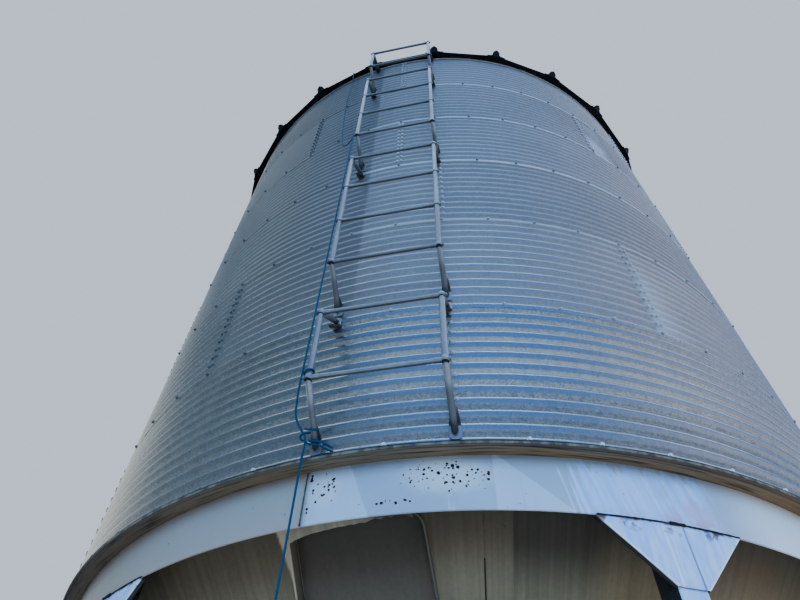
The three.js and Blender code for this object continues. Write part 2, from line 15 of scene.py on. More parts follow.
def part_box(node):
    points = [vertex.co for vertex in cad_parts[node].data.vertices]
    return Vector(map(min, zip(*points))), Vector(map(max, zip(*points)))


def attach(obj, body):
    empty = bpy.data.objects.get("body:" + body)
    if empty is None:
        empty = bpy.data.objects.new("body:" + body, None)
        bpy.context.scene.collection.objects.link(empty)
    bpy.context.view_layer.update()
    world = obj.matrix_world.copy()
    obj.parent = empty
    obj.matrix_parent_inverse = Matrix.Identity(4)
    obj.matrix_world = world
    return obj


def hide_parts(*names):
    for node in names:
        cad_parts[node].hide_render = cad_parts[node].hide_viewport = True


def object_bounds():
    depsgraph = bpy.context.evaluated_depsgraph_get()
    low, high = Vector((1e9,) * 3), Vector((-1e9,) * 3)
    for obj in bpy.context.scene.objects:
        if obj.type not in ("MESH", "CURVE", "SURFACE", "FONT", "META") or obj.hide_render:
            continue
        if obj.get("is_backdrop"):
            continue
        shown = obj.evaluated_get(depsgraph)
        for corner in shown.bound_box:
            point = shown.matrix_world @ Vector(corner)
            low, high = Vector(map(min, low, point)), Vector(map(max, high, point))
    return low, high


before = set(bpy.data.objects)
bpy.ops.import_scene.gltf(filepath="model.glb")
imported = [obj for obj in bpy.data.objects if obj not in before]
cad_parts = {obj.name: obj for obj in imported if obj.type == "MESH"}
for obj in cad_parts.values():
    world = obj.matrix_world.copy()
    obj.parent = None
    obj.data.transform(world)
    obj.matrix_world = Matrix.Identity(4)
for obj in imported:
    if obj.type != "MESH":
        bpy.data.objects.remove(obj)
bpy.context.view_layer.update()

# %% [markdown]
# The silo is round, so a place on it is easiest to say as a distance from its axis, an azimuth
# and a height. The azimuth is in degrees from -Y towards +X, as in the CAD model, and the ladder's
# centre line is at 34.5 degrees. The driving heights and radii are read from the frame, so that
# they follow the CAD model.

# %% Say a place on a round building
LADDER_AZ = 34.5
UP = Vector((0, 0, 1))
HALVES = (("east", 0), ("west", 180))


def around(run, azimuth, z):
    """The point at a distance from the axis, at an azimuth in degrees and a height."""
    turn = math.radians(azimuth)
    return Vector((run * math.sin(turn), -run * math.cos(turn), z))


def turned_to(azimuth, run=0.0, z=0.0):
    """The matrix that moves a thing modelled facing -Y to its place round the silo."""
    return Matrix.Rotation(math.radians(azimuth), 4, "Z") @ Matrix.Translation((0, -run, z))


def tipped(degrees, axis="X"):
    """The matrix that turns a thing about an axis."""
    return Matrix.Rotation(math.radians(degrees), 4, axis)


def reach(node):
    """How far a CAD node reaches from the silo's axis."""
    return max(vertex.co.xy.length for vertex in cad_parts[node].data.vertices)


TO_LADDER = turned_to(LADDER_AZ)
CREST_R = reach("wall_ring_1_east")
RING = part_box("wall_ring_3_east")[0].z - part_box("wall_ring_2_east")[0].z
WALL_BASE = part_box("wall_ring_2_east")[0].z - RING
EAVE_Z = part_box("wall_ring_6_east")[1].z
print(f"wall {CREST_R:.3f} m in radius, from {WALL_BASE:.3f} to {EAVE_Z:.3f} m")

# %% [markdown]
# The camera comes first, because everything is judged through it. It stands under the wall, near
# the ladder, and looks steeply up with a phone's wide lens. Its turn is built from three simple
# ones: a roll about its own view line, a pitch up from level, and a heading about the vertical.

# %% Set up the camera
CAMERA_AT = around(3.8447, 40.81, 1.5793)
CAMERA_HEADING = 47.641
CAMERA_PITCH = 52.605
CAMERA_ROLL = 2.069
CAMERA_LENS = 27.15

bpy.ops.object.camera_add(location=CAMERA_AT)
camera = bpy.context.object
turn = tipped(CAMERA_HEADING, "Z") @ tipped(90 + CAMERA_PITCH) @ tipped(CAMERA_ROLL, "Z")
camera.rotation_euler = turn.to_euler()
camera.data.lens = CAMERA_LENS
camera.data.clip_end = 100
bpy.context.scene.camera = camera
print(f"camera {CAMERA_AT.z:.2f} m up, {CAMERA_AT.xy.length - CREST_R:.2f} m from the wall")

# %% [markdown]
# Modelling by hand means adding a primitive, opening it in edit mode, selecting some of it and
# moving, extruding or bevelling that. These helpers do the same from code. An operator acts on all
# that is selected, so each helper deselects everything first. With no window, the rotate and spin
# operators turn clockwise for a positive angle, so the helpers turn the sign round.

# %% Helpers for modelling by hand
def only(*pieces):
    """Selects these objects and nothing else; the first is the active one."""
    bpy.ops.object.select_all(action="DESELECT")
    for piece in pieces:
        piece.select_set(True)
    bpy.context.view_layer.objects.active = pieces[0]


def start(name, add, **settings):
    """Adds a primitive with nothing else selected, and names it."""
    bpy.ops.object.select_all(action="DESELECT")
    add(**settings)
    piece = bpy.context.object
    piece.name = name
    piece.data.name = name
    return piece


def edit(piece, everything=False):
    """Opens a piece in edit mode, with all of it or nothing selected."""
    only(piece)
    bpy.ops.object.mode_set(mode="EDIT")
    bpy.ops.mesh.select_mode(type="VERT")
    bpy.ops.mesh.select_all(action="SELECT" if everything else "DESELECT")


def select_everything():
    """In edit mode, selects the whole piece."""
    bpy.ops.mesh.select_all(action="SELECT")


def pick(piece, kind, wanted):
    """In edit mode, selects only the vertices, edges or faces that pass a test."""
    bpy.ops.mesh.select_all(action="DESELECT")
    bpy.ops.mesh.select_mode(type=kind)
    mesh = bmesh.from_edit_mesh(piece.data)
    for part in {"VERT": mesh.verts, "EDGE": mesh.edges, "FACE": mesh.faces}[kind]:
        if wanted(part):
            part.select_set(True)
    bmesh.update_edit_mesh(piece.data)


def extrude(move):
    """In edit mode, extrudes what is selected."""
    bpy.ops.mesh.extrude_region_move(TRANSFORM_OT_translate={"value": move})


def close():
    """Leaves edit mode."""
    bpy.ops.object.mode_set(mode="OBJECT")


def settle(piece):
    """Puts a piece's place into its mesh, so that its object sits at the origin."""
    only(piece)
    bpy.ops.object.transform_apply(location=True, rotation=True, scale=True)
    return piece


def modify(piece, kind, **settings):
    """Adds a modifier, sets it and applies it."""
    only(piece)
    bpy.ops.object.modifier_add(type=kind)
    modifier = piece.modifiers[-1]
    for key, value in settings.items():
        setattr(modifier, key, value)
    bpy.ops.object.modifier_apply(modifier=modifier.name)
    return piece


def eased(piece, width):
    """Rounds a piece's corners with a small bevel."""
    return modify(piece, "BEVEL", width=width, segments=2, limit_method="ANGLE")


def smooth(piece, angle=40):
    """Shades a piece smooth except across sharp edges."""
    only(piece)
    bpy.ops.object.shade_smooth_by_angle(angle=math.radians(angle))
    return piece


def join(name, pieces):
    """Joins pieces into one with its place in its mesh."""
    only(*pieces)
    if len(pieces) > 1:
        bpy.ops.object.join()
    pieces[0].name = name
    pieces[0].data.name = name
    return settle(pieces[0])


def copy_of(piece, place):
    """A copy of a piece with a mesh of its own, moved by a matrix."""
    copy = piece.copy()
    copy.data = piece.data.copy()
    copy.matrix_world = place @ piece.matrix_world
    bpy.context.collection.objects.link(copy)
    return copy


def discard(*pieces):
    """Deletes templates and cutters that have done their work."""
    for piece in pieces:
        bpy.data.objects.remove(piece)


print("helpers ready")

# %% [markdown]
# Most pieces begin in one of three ways: as a box, as a rod, or as a chain of vertices. A chain is
# one vertex extruded from place to place. It gives the section of a rolled or pressed sheet, which
# is then spun or extruded. A sheet has no inside, so its normals are turned away from the axis.

# %% Boxes, rods and chains
def block(name, size, middle=(0, 0, 0)):
    """A box of a size round a middle."""
    piece = start(name, bpy.ops.mesh.primitive_cube_add, size=1, location=middle)
    piece.scale = size
    return settle(piece)


def rod(name, sides, radius, length, middle=(0, 0, 0), turn=(0, 0, 0)):
    """An upright cylinder, turned by degrees about X, Y and Z."""
    rotation = [math.radians(angle) for angle in turn]
    shape = {"vertices": sides, "radius": radius, "depth": length}
    add = bpy.ops.mesh.primitive_cylinder_add
    return settle(start(name, add, location=middle, rotation=rotation, **shape))


def chain(name, places):
    """A chain of vertices from place to place. It is left open in edit mode, all selected."""
    piece = start(name, bpy.ops.mesh.primitive_plane_add, size=0.01)
    edit(piece, everything=True)
    bpy.ops.mesh.merge(type="CENTER")
    bpy.ops.transform.translate(value=places[0])
    for before, after in zip(places, places[1:]):
        bpy.ops.mesh.extrude_vertices_move(TRANSFORM_OT_translate={"value": after - before})
    select_everything()
    return piece


def spin(steps, sweep):
    """In edit mode, spins what is selected about the silo's axis, by degrees."""
    bpy.ops.mesh.spin(steps=steps, angle=-math.radians(sweep), center=(0, 0, 0), axis=(0, 0, 1))
    select_everything()


def face_outwards(piece):
    """Leaves edit mode with a sheet's normals pointing away from the axis."""
    select_everything()
    bpy.ops.mesh.normals_make_consistent(inside=False)
    close()
    face = min(piece.data.polygons, key=lambda face: abs(face.center.x))
    if face.normal.xy.dot(face.center.xy) < 0:
        edit(piece, everything=True)
        bpy.ops.mesh.flip_normals()
        close()


print("boxes, rods and chains ready")

# %% [markdown]
# Most large pieces of a silo are rolled or turned: rings, bands, cones and collars. A section is
# drawn as a chain and spun about the axis, as on a lathe. A full turn is merged where it closes.
# Anything less gets its two ends filled.

# %% A helper for turned pieces
def turned(name, section, steps, first=0.0, sweep=360.0):
    """Spins a closed section of (run, z) points about the axis, from an azimuth onwards."""
    piece = chain(name, [around(run, first, z) for run, z in [*section, section[0]]])
    bpy.ops.mesh.remove_doubles(threshold=1e-6)
    spin(steps, sweep)
    bpy.ops.mesh.remove_doubles(threshold=1e-6)
    if sweep < 360:
        bpy.ops.mesh.fill_holes(sides=0)
        select_everything()
    bpy.ops.mesh.normals_make_consistent(inside=False)
    close()
    return piece


print("lathe ready")

# %% [markdown]
# Tubes, ropes and weld beads all follow a line. A curve with a round bevel does that, and
# converting it gives a mesh. The curve can also carry a section of its own, which turns as it runs
# along. A pipe bender leaves round corners, so the corners of a bent tube's line are replaced by
# short curved stretches first. Loops and coils are lines too, made of points round a middle.

# %% Helpers for bars along a line
def rounded(corners, radius, steps=6):
    """Corners joined by straight lines, with each inner corner bent round."""
    line = [corners[0]]
    for before, corner, after in zip(corners, corners[1:], corners[2:]):
        back = (before - corner).normalized()
        ahead = (after - corner).normalized()
        half = back.angle(ahead) / 2
        cut = min(radius / math.tan(half), (before - corner).length / 2, (after - corner).length / 2)
        for step in range(steps + 1):
            share = step / steps
            first = corner + back * cut * (1 - share)
            second = corner + ahead * cut * share
            line.append(first.lerp(second, share))
    line.append(corners[-1])
    return line


def coil(middle, first, quarter, steps, turns=1, rise=Vector()):
    """Points round a middle, from its first arm by way of the arm a quarter turn on."""
    points = []
    for step in range(steps + 1):
        angle = math.tau * turns * step / steps
        arm = first * math.cos(angle) + quarter * math.sin(angle)
        points.append(middle + arm + rise * step / steps)
    return points


def bar(name, line, radius=0.0, resolution=2, swell=None, section=None, lay=None):
    """A bar along a line, round or with a section; swell is a factor on its radius at a point."""
    curve = bpy.data.curves.new(name, "CURVE")
    curve.dimensions = "3D"
    curve.use_fill_caps = True
    if section:
        curve.twist_mode = "MINIMUM"
        curve.bevel_mode = "OBJECT"
        curve.bevel_object = section
    else:
        curve.bevel_depth = radius
        curve.bevel_resolution = resolution
    spline = curve.splines.new("POLY")
    spline.points.add(len(line) - 1)
    travelled = 0.0
    for index, (point, place) in enumerate(zip(spline.points, line)):
        travelled += (place - line[index - 1]).length if index else 0
        point.co = (*place, 1)
        point.radius = swell(index) if swell else 1
        point.tilt = travelled / lay * math.tau if lay else 0
    piece = bpy.data.objects.new(name, curve)
    bpy.context.collection.objects.link(piece)
    only(piece)
    bpy.ops.object.convert(target="MESH")
    return bpy.context.object


print("bars ready")

# %% [markdown]
# Materials are node trees, and arithmetic between nodes reads badly as a list of links. Here a
# small class wraps a node's output and overloads the operators, so that 1 - mask * 0.3 adds the
# Math nodes that it needs. Any other node comes from one method that takes the node's type, its
# settings and the values or links of its inputs.

# %% Write node trees as expressions
class Socket:
    """A node's output. Arithmetic on it adds Math nodes to its material."""

    def __init__(self, finish, output):
        self.finish = finish
        self.output = output

    def math(self, operation, *values):
        return self.finish.node("ShaderNodeMath", {"operation": operation}, *values)

    def __add__(self, other):
        return self.math("ADD", self, other)

    def __sub__(self, other):
        return self.math("SUBTRACT", self, other)

    def __rsub__(self, other):
        return self.math("SUBTRACT", other, self)

    def __mul__(self, other):
        return self.math("MULTIPLY", self, other)

    def __truediv__(self, other):
        return self.math("DIVIDE", self, other)

    def __pow__(self, other):
        return self.math("POWER", self, other)

    __radd__ = __add__
    __rmul__ = __mul__

    def fraction(self):
        """The part of the value past its whole number."""
        return self.math("FRACT", self)

    def size(self):
        """The value without its sign."""
        return self.math("ABSOLUTE", self)

    def clamp(self):
        """The value kept between 0 and 1."""
        return self.math("MINIMUM", self.math("MAXIMUM", self, 0.0), 1.0)

    def off_rows(self, pitch):
        """The distance from the nearest of many rows a pitch apart."""
        return ((self / pitch + 0.5).fraction() - 0.5).size() * pitch

    def over(self, low, high):
        """0 below low, 1 above high and a smooth step between them."""
        settings = {"interpolation_type": "SMOOTHSTEP"}
        return self.finish.node("ShaderNodeMapRange", settings, self, low, high, 0.0, 1.0)

    def under(self, low, high):
        """1 below low, 0 above high and a smooth step between them."""
        return 1 - self.over(low, high)

    def between(self, rise, fall):
        """1 between a step up and a step down, each said as its low and high end."""
        return self.over(*rise) * self.under(*fall)


class Finish:
    """A material or a world built up by expressions, in a piece's own coordinates."""

    def __init__(self, name, family=bpy.data.materials, place="Object"):
        self.material = family.new(name)
        self.material.use_nodes = True
        self.tree = self.material.node_tree
        self.tree.nodes.clear()
        self.place = self.node("ShaderNodeTexCoord", out=place)

    def put(self, socket, value):
        """Links an expression to an input, or sets a number or a colour on it."""
        if isinstance(value, Socket):
            self.tree.links.new(value.output, socket)
        elif isinstance(value, tuple) and socket.type == "RGBA":
            socket.default_value = (*value, 1)
        else:
            socket.default_value = value

    def node(self, kind, settings=None, *values, out=0, **named):
        """Adds a node. Settings come first, then the inputs in order or by their names."""
        made = self.tree.nodes.new(kind)
        for key, value in (settings or {}).items():
            setattr(made, key, value)
        for key, value in [*enumerate(values), *named.items()]:
            self.put(made.inputs[key], value)
        return Socket(self, made.outputs[out])

    def vector(self, operation, first, second, out="Value"):
        """Arithmetic between two vectors."""
        return self.node("ShaderNodeVectorMath", {"operation": operation}, first, second, out=out)

    def mix(self, share, first, second):
        """A colour between two colours."""
        mixed = self.node("ShaderNodeMix", {"data_type": "RGBA"}, out=2)
        made = mixed.output.node
        for index, value in ((0, share), (6, first), (7, second)):
            self.put(made.inputs[index], value)
        return mixed

    def coats(self, colour, *layers):
        """A colour under several layers, each of them a share and a colour."""
        for share, layer in layers:
            colour = self.mix(share, colour, layer)
        return colour

    def tint(self, colour, amount):
        """A colour made lighter or darker by a factor."""
        return self.node("ShaderNodeVectorMath", {"operation": "SCALE"}, colour, Scale=amount)

    def stretched(self, x, y, z):
        """The piece's coordinates multiplied along each axis."""
        return self.vector("MULTIPLY", self.place, (x, y, z), out=0)

    def xyz(self, x, y, z):
        """A place made of three values."""
        return self.node("ShaderNodeCombineXYZ", None, x, y, z)

    def noise(self, scale, detail=3.0, vector=None):
        """Cloudy noise around 0.5."""
        place = vector or self.place
        return self.node("ShaderNodeTexNoise", None, Vector=place, Scale=scale, Detail=detail)

    def cells(self, scale, out="Distance"):
        """A Voronoi pattern: its distance, or a colour that differs from cell to cell."""
        return self.node("ShaderNodeTexVoronoi", None, Vector=self.place, Scale=scale, out=out)

    def shades(self, scale):
        """A grey that differs from cell to cell."""
        return self.node("ShaderNodeSeparateColor", None, self.cells(scale, out="Color"))

    def axis(self, name):
        """One coordinate of the place: X, Y or Z."""
        return self.node("ShaderNodeSeparateXYZ", None, self.place, out=name)

    def run(self):
        """The distance from the silo's axis."""
        flat = self.stretched(1, 1, 0)
        return self.node("ShaderNodeVectorMath", {"operation": "LENGTH"}, flat, out="Value")

    def azimuth(self):
        """Degrees round the silo from the ladder's centre line, from -180 to 180."""
        turn = math.radians(-LADDER_AZ)
        across = self.axis("X") * math.cos(turn) - self.axis("Y") * math.sin(turn)
        ahead = self.axis("X") * math.sin(turn) + self.axis("Y") * math.cos(turn)
        return across.math("ARCTAN2", across, ahead * -1.0) * math.degrees(1)

    def normal(self):
        """The direction that a surface faces."""
        return self.node("ShaderNodeNewGeometry", out="Normal")

    def upward(self):
        """How far a surface faces up: 1 for level, 0 for upright, -1 for hanging."""
        return self.node("ShaderNodeSeparateXYZ", None, self.normal(), out="Z")

    def surface(self, colour, roughness, metallic=0.0, height=None, bump=0.001, specular=0.5):
        """Ends the tree in a Principled shader, with a bump where a height is given."""
        shader = self.tree.nodes.new("ShaderNodeBsdfPrincipled")
        output = self.tree.nodes.new("ShaderNodeOutputMaterial")
        self.tree.links.new(shader.outputs[0], output.inputs[0])
        inputs = {"Base Color": colour, "Roughness": roughness, "Metallic": metallic}
        inputs["Specular IOR Level"] = specular
        if height is not None:
            relief = {"Strength": 1.0, "Distance": bump, "Height": height}
            inputs["Normal"] = self.node("ShaderNodeBump", None, out="Normal", **relief)
        for key, value in inputs.items():
            self.put(shader.inputs[key], value)
        return self.material


def show(piece, material, replaces=()):
    """Gives a piece its material, fastens it to the fixed frame and hides the CAD parts it replaces."""
    piece.data.materials.clear()
    piece.data.materials.append(material)
    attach(piece, "root")
    if replaces:
        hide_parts(*replaces)
    return piece


print("shader expressions ready")

# %% [markdown]
# The pull rope opens the lid on the roof from the ground. It lies down the roof, drops over the
# eave, hangs in a slack belly against the wall, passes a turn round the end of the seventh rung,
# falls beside the ladder's left rail to a hitch at the ladder's foot, and ends in a hand loop.
# A rope's place can't be worked out from other pieces, so its route is given as three lists:
# on the roof as run, azimuth and slack, at the eave as run, azimuth and height above the roof's
# edge, and below it in the ladder's frame, which is across, outwards and up from the wall's base.

# %% Route the pull rope
ROPE_D = 0.008
ROPE_AZ = -15
ROOF_SLOPE = math.radians(30)
ROOF_R = 2.248
PANEL_DEG = 15.0
HALF_PANEL = math.radians(PANEL_DEG / 2)
EAVE_RUN = ROOF_R * math.cos(HALF_PANEL)
ROOF_EDGE_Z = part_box("roof_sector_1")[0].z
ROOF_SHEET = 0.003
LID_R = reach("roof_lid")
COLLAR_TOP_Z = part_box("fill_collar")[1].z
RAIL_SPACING = 0.507
RAIL_D = 0.0254
RAIL_OFF_WALL = 0.1905
RAIL_RUN = math.sqrt(CREST_R**2 - (RAIL_SPACING / 2) ** 2) + RAIL_OFF_WALL
FIRST_RUNG = 0.205
RUNG_PITCH = 0.381
ROPE_OFF_RAIL = 0.004
PLUMB_X = -(RAIL_SPACING + RAIL_D + ROPE_D) / 2 - ROPE_OFF_RAIL
LYING = 0.002
ON_ROOF = (
    (0.372, ROPE_AZ, 0.060), (0.430, ROPE_AZ, 0.016), (0.560, ROPE_AZ, 0.003), (1.0, -14.2, LYING),
    (1.5, -13.4, LYING), (2.1, -12.9, LYING), (2.218, -12.8, LYING),
)
AT_EAVE = ((2.239, -12.8, 0.007), (2.243, -12.8, -0.016))
DOWN_WALL = (
    (-0.489, 2.187, 4.460), (-0.484, 2.190, 4.105), (-0.482, 2.191, 3.620), (-0.462, 2.196, 3.250),
    (-0.432, 2.216, 2.850), (-0.390, 2.252, 2.625), (-0.333, 2.296, 2.528), (-0.290, 2.340, 2.500),
    (PLUMB_X, 2.368, 2.478), (PLUMB_X, 2.372, 2.380), (PLUMB_X, 2.372, 1.5), (PLUMB_X, 2.372, 0.420),
    (PLUMB_X - 0.003, 2.366, 0.240), (PLUMB_X - 0.014, 2.340, 0.130),
    (PLUMB_X - 0.020, 2.304, 0.066), (PLUMB_X - 0.008, 2.262, 0.040),
    (PLUMB_X - 0.002, 2.236, 0.030), (-0.289, 2.206, -0.060), (-0.289, 2.203, -0.300),
    (-0.289, 2.203, -1.180),
)


def on_roof(run, azimuth, slack):
    """A point of the rope's centreline on the roof, azimuth from the ladder's centre line."""
    lift = (ROOF_SHEET + ROPE_D / 2 + slack) / math.cos(ROOF_SLOPE)
    along = run * math.cos(math.radians(azimuth + PANEL_DEG))
    return around(run, azimuth, ROOF_EDGE_Z + (EAVE_RUN - along) * math.tan(ROOF_SLOPE) + lift)


def beside(across, run, up):
    """A point of the rope's centreline beside the ladder."""
    return Vector((across, -run, WALL_BASE + up))


def length_of(line):
    """The length of a line of points."""
    return sum((after - before).length for before, after in zip(line, line[1:]))


rope_points = [
    around(LID_R + ROPE_D / 2 + 0.0003, ROPE_AZ, COLLAR_TOP_Z - 0.022),
    *(on_roof(*place) for place in ON_ROOF),
    *(around(run, azimuth, ROOF_EDGE_Z + up) for run, azimuth, up in AT_EAVE),
    *(beside(*place) for place in DOWN_WALL),
]
rope_points = [TO_LADDER @ point for point in rope_points]
print(f"{len(rope_points)} points, {length_of(rope_points):.2f} m")

# %% [markdown]
# The route becomes one smooth line that passes through every point. The spline below is the
# centripetal one, which doesn't overshoot where points lie close together. The rope itself is laid
# from three strands, so its section has three lobes that turn as they run along it.

# %% Lay the rope along its route
STRANDS = 3
LOBE_POINTS = 12
LAY_LENGTH = 0.036
ROPE_STEP = 0.0075


def smooth_line(points, step):
    """Points a step apart on a centripetal spline through the given ones."""
    ends = [points[0] * 2 - points[1], *points, points[-1] * 2 - points[-2]]
    line = []
    for p0, p1, p2, p3 in zip(ends, ends[1:], ends[2:], ends[3:]):
        t1 = (p1 - p0).length ** 0.5
        t2 = t1 + (p2 - p1).length ** 0.5
        t3 = t2 + (p3 - p2).length ** 0.5
        count = max(2, round((p2 - p1).length / step))
        for index in range(count):
            t = t1 + (t2 - t1) * index / count
            a1 = p0.lerp(p1, t / t1)
            a2 = p1.lerp(p2, (t - t1) / (t2 - t1))
            a3 = p2.lerp(p3, (t - t2) / (t3 - t2))
            b1 = a1.lerp(a2, t / t2)
            b2 = a2.lerp(a3, (t - t1) / (t3 - t1))
            line.append(b1.lerp(b2, (t - t1) / (t2 - t1)))
    line.append(points[-1])
    return line


def laid_rope(name, line):
    """A rope of three strands along a line."""
    section = start(name + "_section", bpy.ops.curve.primitive_bezier_circle_add, radius=1)
    section.data.splines.clear()
    spline = section.data.splines.new("POLY")
    spline.points.add(LOBE_POINTS - 1)
    spline.use_cyclic_u = True
    for index, point in enumerate(spline.points):
        angle = index * math.tau / LOBE_POINTS
        lobed = ROPE_D / 2 * (0.94 + 0.10 * math.cos(STRANDS * angle))
        point.co = (lobed * math.cos(angle), lobed * math.sin(angle), 0, 1)
    rope = bar(name, line, section=section, lay=LAY_LENGTH)
    discard(section)
    return smooth(rope, 60)


rope_line = smooth_line(rope_points, ROPE_STEP)
rope_length = length_of(rope_line)
rope = laid_rope("rope", rope_line)
print(f"rope {rope_length:.2f} m long, {len(rope.data.polygons)} faces")

# %% [markdown]
# The hitch that ties the rope to the foot of the ladder's left rail, and the loop at its end for a
# hand, are short lengths of the same rope. The hitch is a turn round the leg, an open bight to the
# left, a crossing in front of the leg and two tails that lie on the wall. A tied rope follows no
# formula, so its points are listed too: some in the leg's own frame, which is sideways, in towards
# the wall and along the leg, and some beside the ladder as before.

# %% Tie the hitch and the hand loop
LEG_FOOT = Vector((-0.2541, -2.1746, WALL_BASE + 0.022))
LEG_BEND = Vector((-RAIL_SPACING / 2, -2.3367, WALL_BASE + 0.181))
TURN_R = (RAIL_D + ROPE_D) / 2 + 0.0005
KNOT_R = 0.0085
KNOT_LENGTH = 0.030


def on_leg(sideways, inwards, along):
    """A point by the leg of the ladder's left rail, from the middle of its foot."""
    up_leg = (LEG_BEND - LEG_FOOT).normalized()
    side = Vector((1, 0, 0))
    return LEG_FOOT + side * sideways + up_leg.cross(side) * inwards + up_leg * along


turn_and_tail = [
    on_leg(-0.031, 0.002, 0.078),
    on_leg(-0.020, -0.010, 0.077),
    on_leg(0, -TURN_R, 0.074),
    on_leg(TURN_R, -0.003, 0.070),
    on_leg(0, TURN_R, 0.065),
    on_leg(-0.021, 0.006, 0.062),
    beside(-0.296, 2.210, 0.074),
    beside(-0.310, 2.203, 0.068),
    beside(-0.306, 2.199, 0.056),
    beside(-0.290, 2.201, 0.045),
    on_leg(-0.021, -0.017, 0.026),
    beside(-0.254, 2.209, 0.020),
    beside(-0.235, 2.199, 0.020),
    beside(-0.213, 2.190, 0.011),
    beside(-0.196, 2.187, 0.001),
    beside(-0.184, 2.187, -0.0045),
]
second_tail = [
    on_leg(-0.022, 0.004, 0.036),
    on_leg(-0.012, -0.015, 0.034),
    beside(-0.254, 2.211, 0.032),
    beside(-0.230, 2.201, 0.034),
    beside(-0.212, 2.191, 0.030),
    beside(-0.195, 2.187, 0.018),
    beside(-0.186, 2.187, 0.011),
]
rung_turn = coil(
    beside(-RAIL_SPACING / 2, RAIL_RUN, FIRST_RUNG + 0.026),
    Vector((TURN_R, 0, 0.006)),
    Vector((0, -TURN_R, 0)),
    12,
)
strands = []
for points in (turn_and_tail, second_tail, rung_turn):
    line = smooth_line([TO_LADDER @ point for point in points], ROPE_STEP / 2)
    strands.append(laid_rope("rope_hitch", line))
hitch = join("rope_hitch", strands)

LOOP_LOW, LOOP_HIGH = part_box("rope_hand_loop")
loop_middle = (LOOP_LOW + LOOP_HIGH) / 2
loop_r = (LOOP_HIGH.z - LOOP_LOW.z - ROPE_D) / 2
to_side = TO_LADDER @ Vector((1, 0, 0))
to_wall = TO_LADDER @ Vector((0, 1, 0))
knot_foot = loop_middle + UP * (loop_r + 0.012)
hand_loop = laid_rope("rope_loop", coil(loop_middle, UP * loop_r, to_side * loop_r, 48))
knot_line = coil(knot_foot, to_side * KNOT_R, to_wall * KNOT_R, 48, 4, UP * KNOT_LENGTH)
hand_loop = join("rope_loop", [hand_loop, laid_rope("rope_loop_knot", knot_line)])
print("hitch and hand loop tied")

# %% [markdown]
# Cheap blue rope is drawn plastic fibre: a strong blue that has faded a little where the sun gets
# at it, with a soft sheen and fine fibres along the strands.

# %% Colour the rope
blue = Finish("rope_blue")
fibre = blue.noise(900, detail=2)
faded = blue.mix(blue.noise(6, detail=4), (0.006, 0.062, 0.120), (0.013, 0.108, 0.190))
blue_rope = blue.surface(
    blue.tint(faded, fibre * 0.6 + 0.7), fibre * 0.3 + 0.45, height=fibre, bump=0.0004
)
show(rope, blue_rope, ["pull_rope"])
show(hitch, blue_rope)
show(hand_loop, blue_rope, ["rope_hand_loop"])
tuple(rope_points[0])

# %% [markdown]
# The wall's sheets are rolled steel: 63.5 mm from crest to crest and 12.7 mm deep. One sheet is
# modelled and copied. Its section is a wave, drawn upwards vertex by vertex and spun through a
# sixth of a turn. Each sheet's lower edge laps outside the sheet below and one upright edge laps
# outside its neighbour, so that rain runs off, and those laps show as fine lines on the wall.

# %% Roll one corrugated sheet
WAVE_PITCH = 0.0635
WAVE_DEPTH = 0.0127
WAVE_STEPS = 8
SHEET_PLATE = 0.0012
LAP = 0.0013
SHEET_DEG = 60.0
LAP_DEG = 0.65
SHEET_STEPS = 18
WAVES = round(RING / WAVE_PITCH)


def wave_r(up):
    """The sheet's outer radius at a height above its lower row of bolts, which is on a crest."""
    return CREST_R - WAVE_DEPTH * (1 - math.cos(math.tau * up / WAVE_PITCH)) / 2


def corrugated_sheet():
    """One sheet at azimuth 0, with its lower row of bolts at height 0."""
    heights = [WAVE_PITCH / WAVE_STEPS * step for step in range(-2, WAVES * WAVE_STEPS + 3)]
    places = [around(wave_r(up) + LAP * (1 - up / RING), -LAP_DEG, up) for up in heights]
    sheet = chain("sheet", places)
    spin(SHEET_STEPS, SHEET_DEG + 2 * LAP_DEG)
    face_outwards(sheet)
    sheet.location = around(LAP, 90, 0)
    return modify(settle(sheet), "SOLIDIFY", thickness=SHEET_PLATE, offset=-1)


sheet = corrugated_sheet()
print(f"one sheet has {len(sheet.data.polygons)} faces")

# %% [markdown]
# Three copies make half a ring, and the joints are staggered from ring to ring as the sheets on
# the real wall are. Every sheet also carries a number of its own, so that the material can make
# some a little lighter or duller: sheets come from different batches. The lowest ring is cut off at
# the hopper's flange and the highest at the eave.

# %% Build the wall from copies
RING_JOINTS = [20 / 3, 100 / 3, 20 / 3, 0, 40, 0]
SHEETS_A_HALF = 3
LIP = 0.010
tones = random.Random(14)


def give_tone(piece, tone):
    """Stores one number on all of a piece's points."""
    attribute = piece.data.attributes.new("sheet_tone", "FLOAT", "POINT")
    attribute.data.foreach_set("value", [tone] * len(piece.data.vertices))


def trim(piece, z, kept):
    """Cuts a piece off at a height, keeps what is above or below it and fills the cut edge."""
    edit(piece, everything=True)
    bpy.ops.mesh.bisect(plane_co=(0, 0, z), plane_no=(0, 0, kept), clear_inner=True, use_fill=False)
    close()
    edit(piece)
    bpy.ops.mesh.select_non_manifold()
    bpy.ops.mesh.fill()
    close()


def half_ring(ring, half, turn):
    """Three sheets of one ring, joined."""
    sheets = []
    for index in range(SHEETS_A_HALF):
        azimuth = LADDER_AZ + RING_JOINTS[ring] + turn + SHEET_DEG * index
        copy = copy_of(sheet, turned_to(azimuth, z=WALL_BASE + RING * ring))
        give_tone(copy, tones.random())
        sheets.append(copy)
    piece = join(f"sheets_ring_{ring + 1}_{half}", sheets)
    if ring == 0:
        trim(piece, WALL_BASE - LIP, 1)
    if ring == len(RING_JOINTS) - 1:
        trim(piece, EAVE_Z, -1)
    return smooth(piece)


wall = {}
for ring in range(len(RING_JOINTS)):
    for half, turn in HALVES:
        wall[ring, half] = half_ring(ring, half, turn)
discard(sheet)
print(f"{len(wall)} half rings")

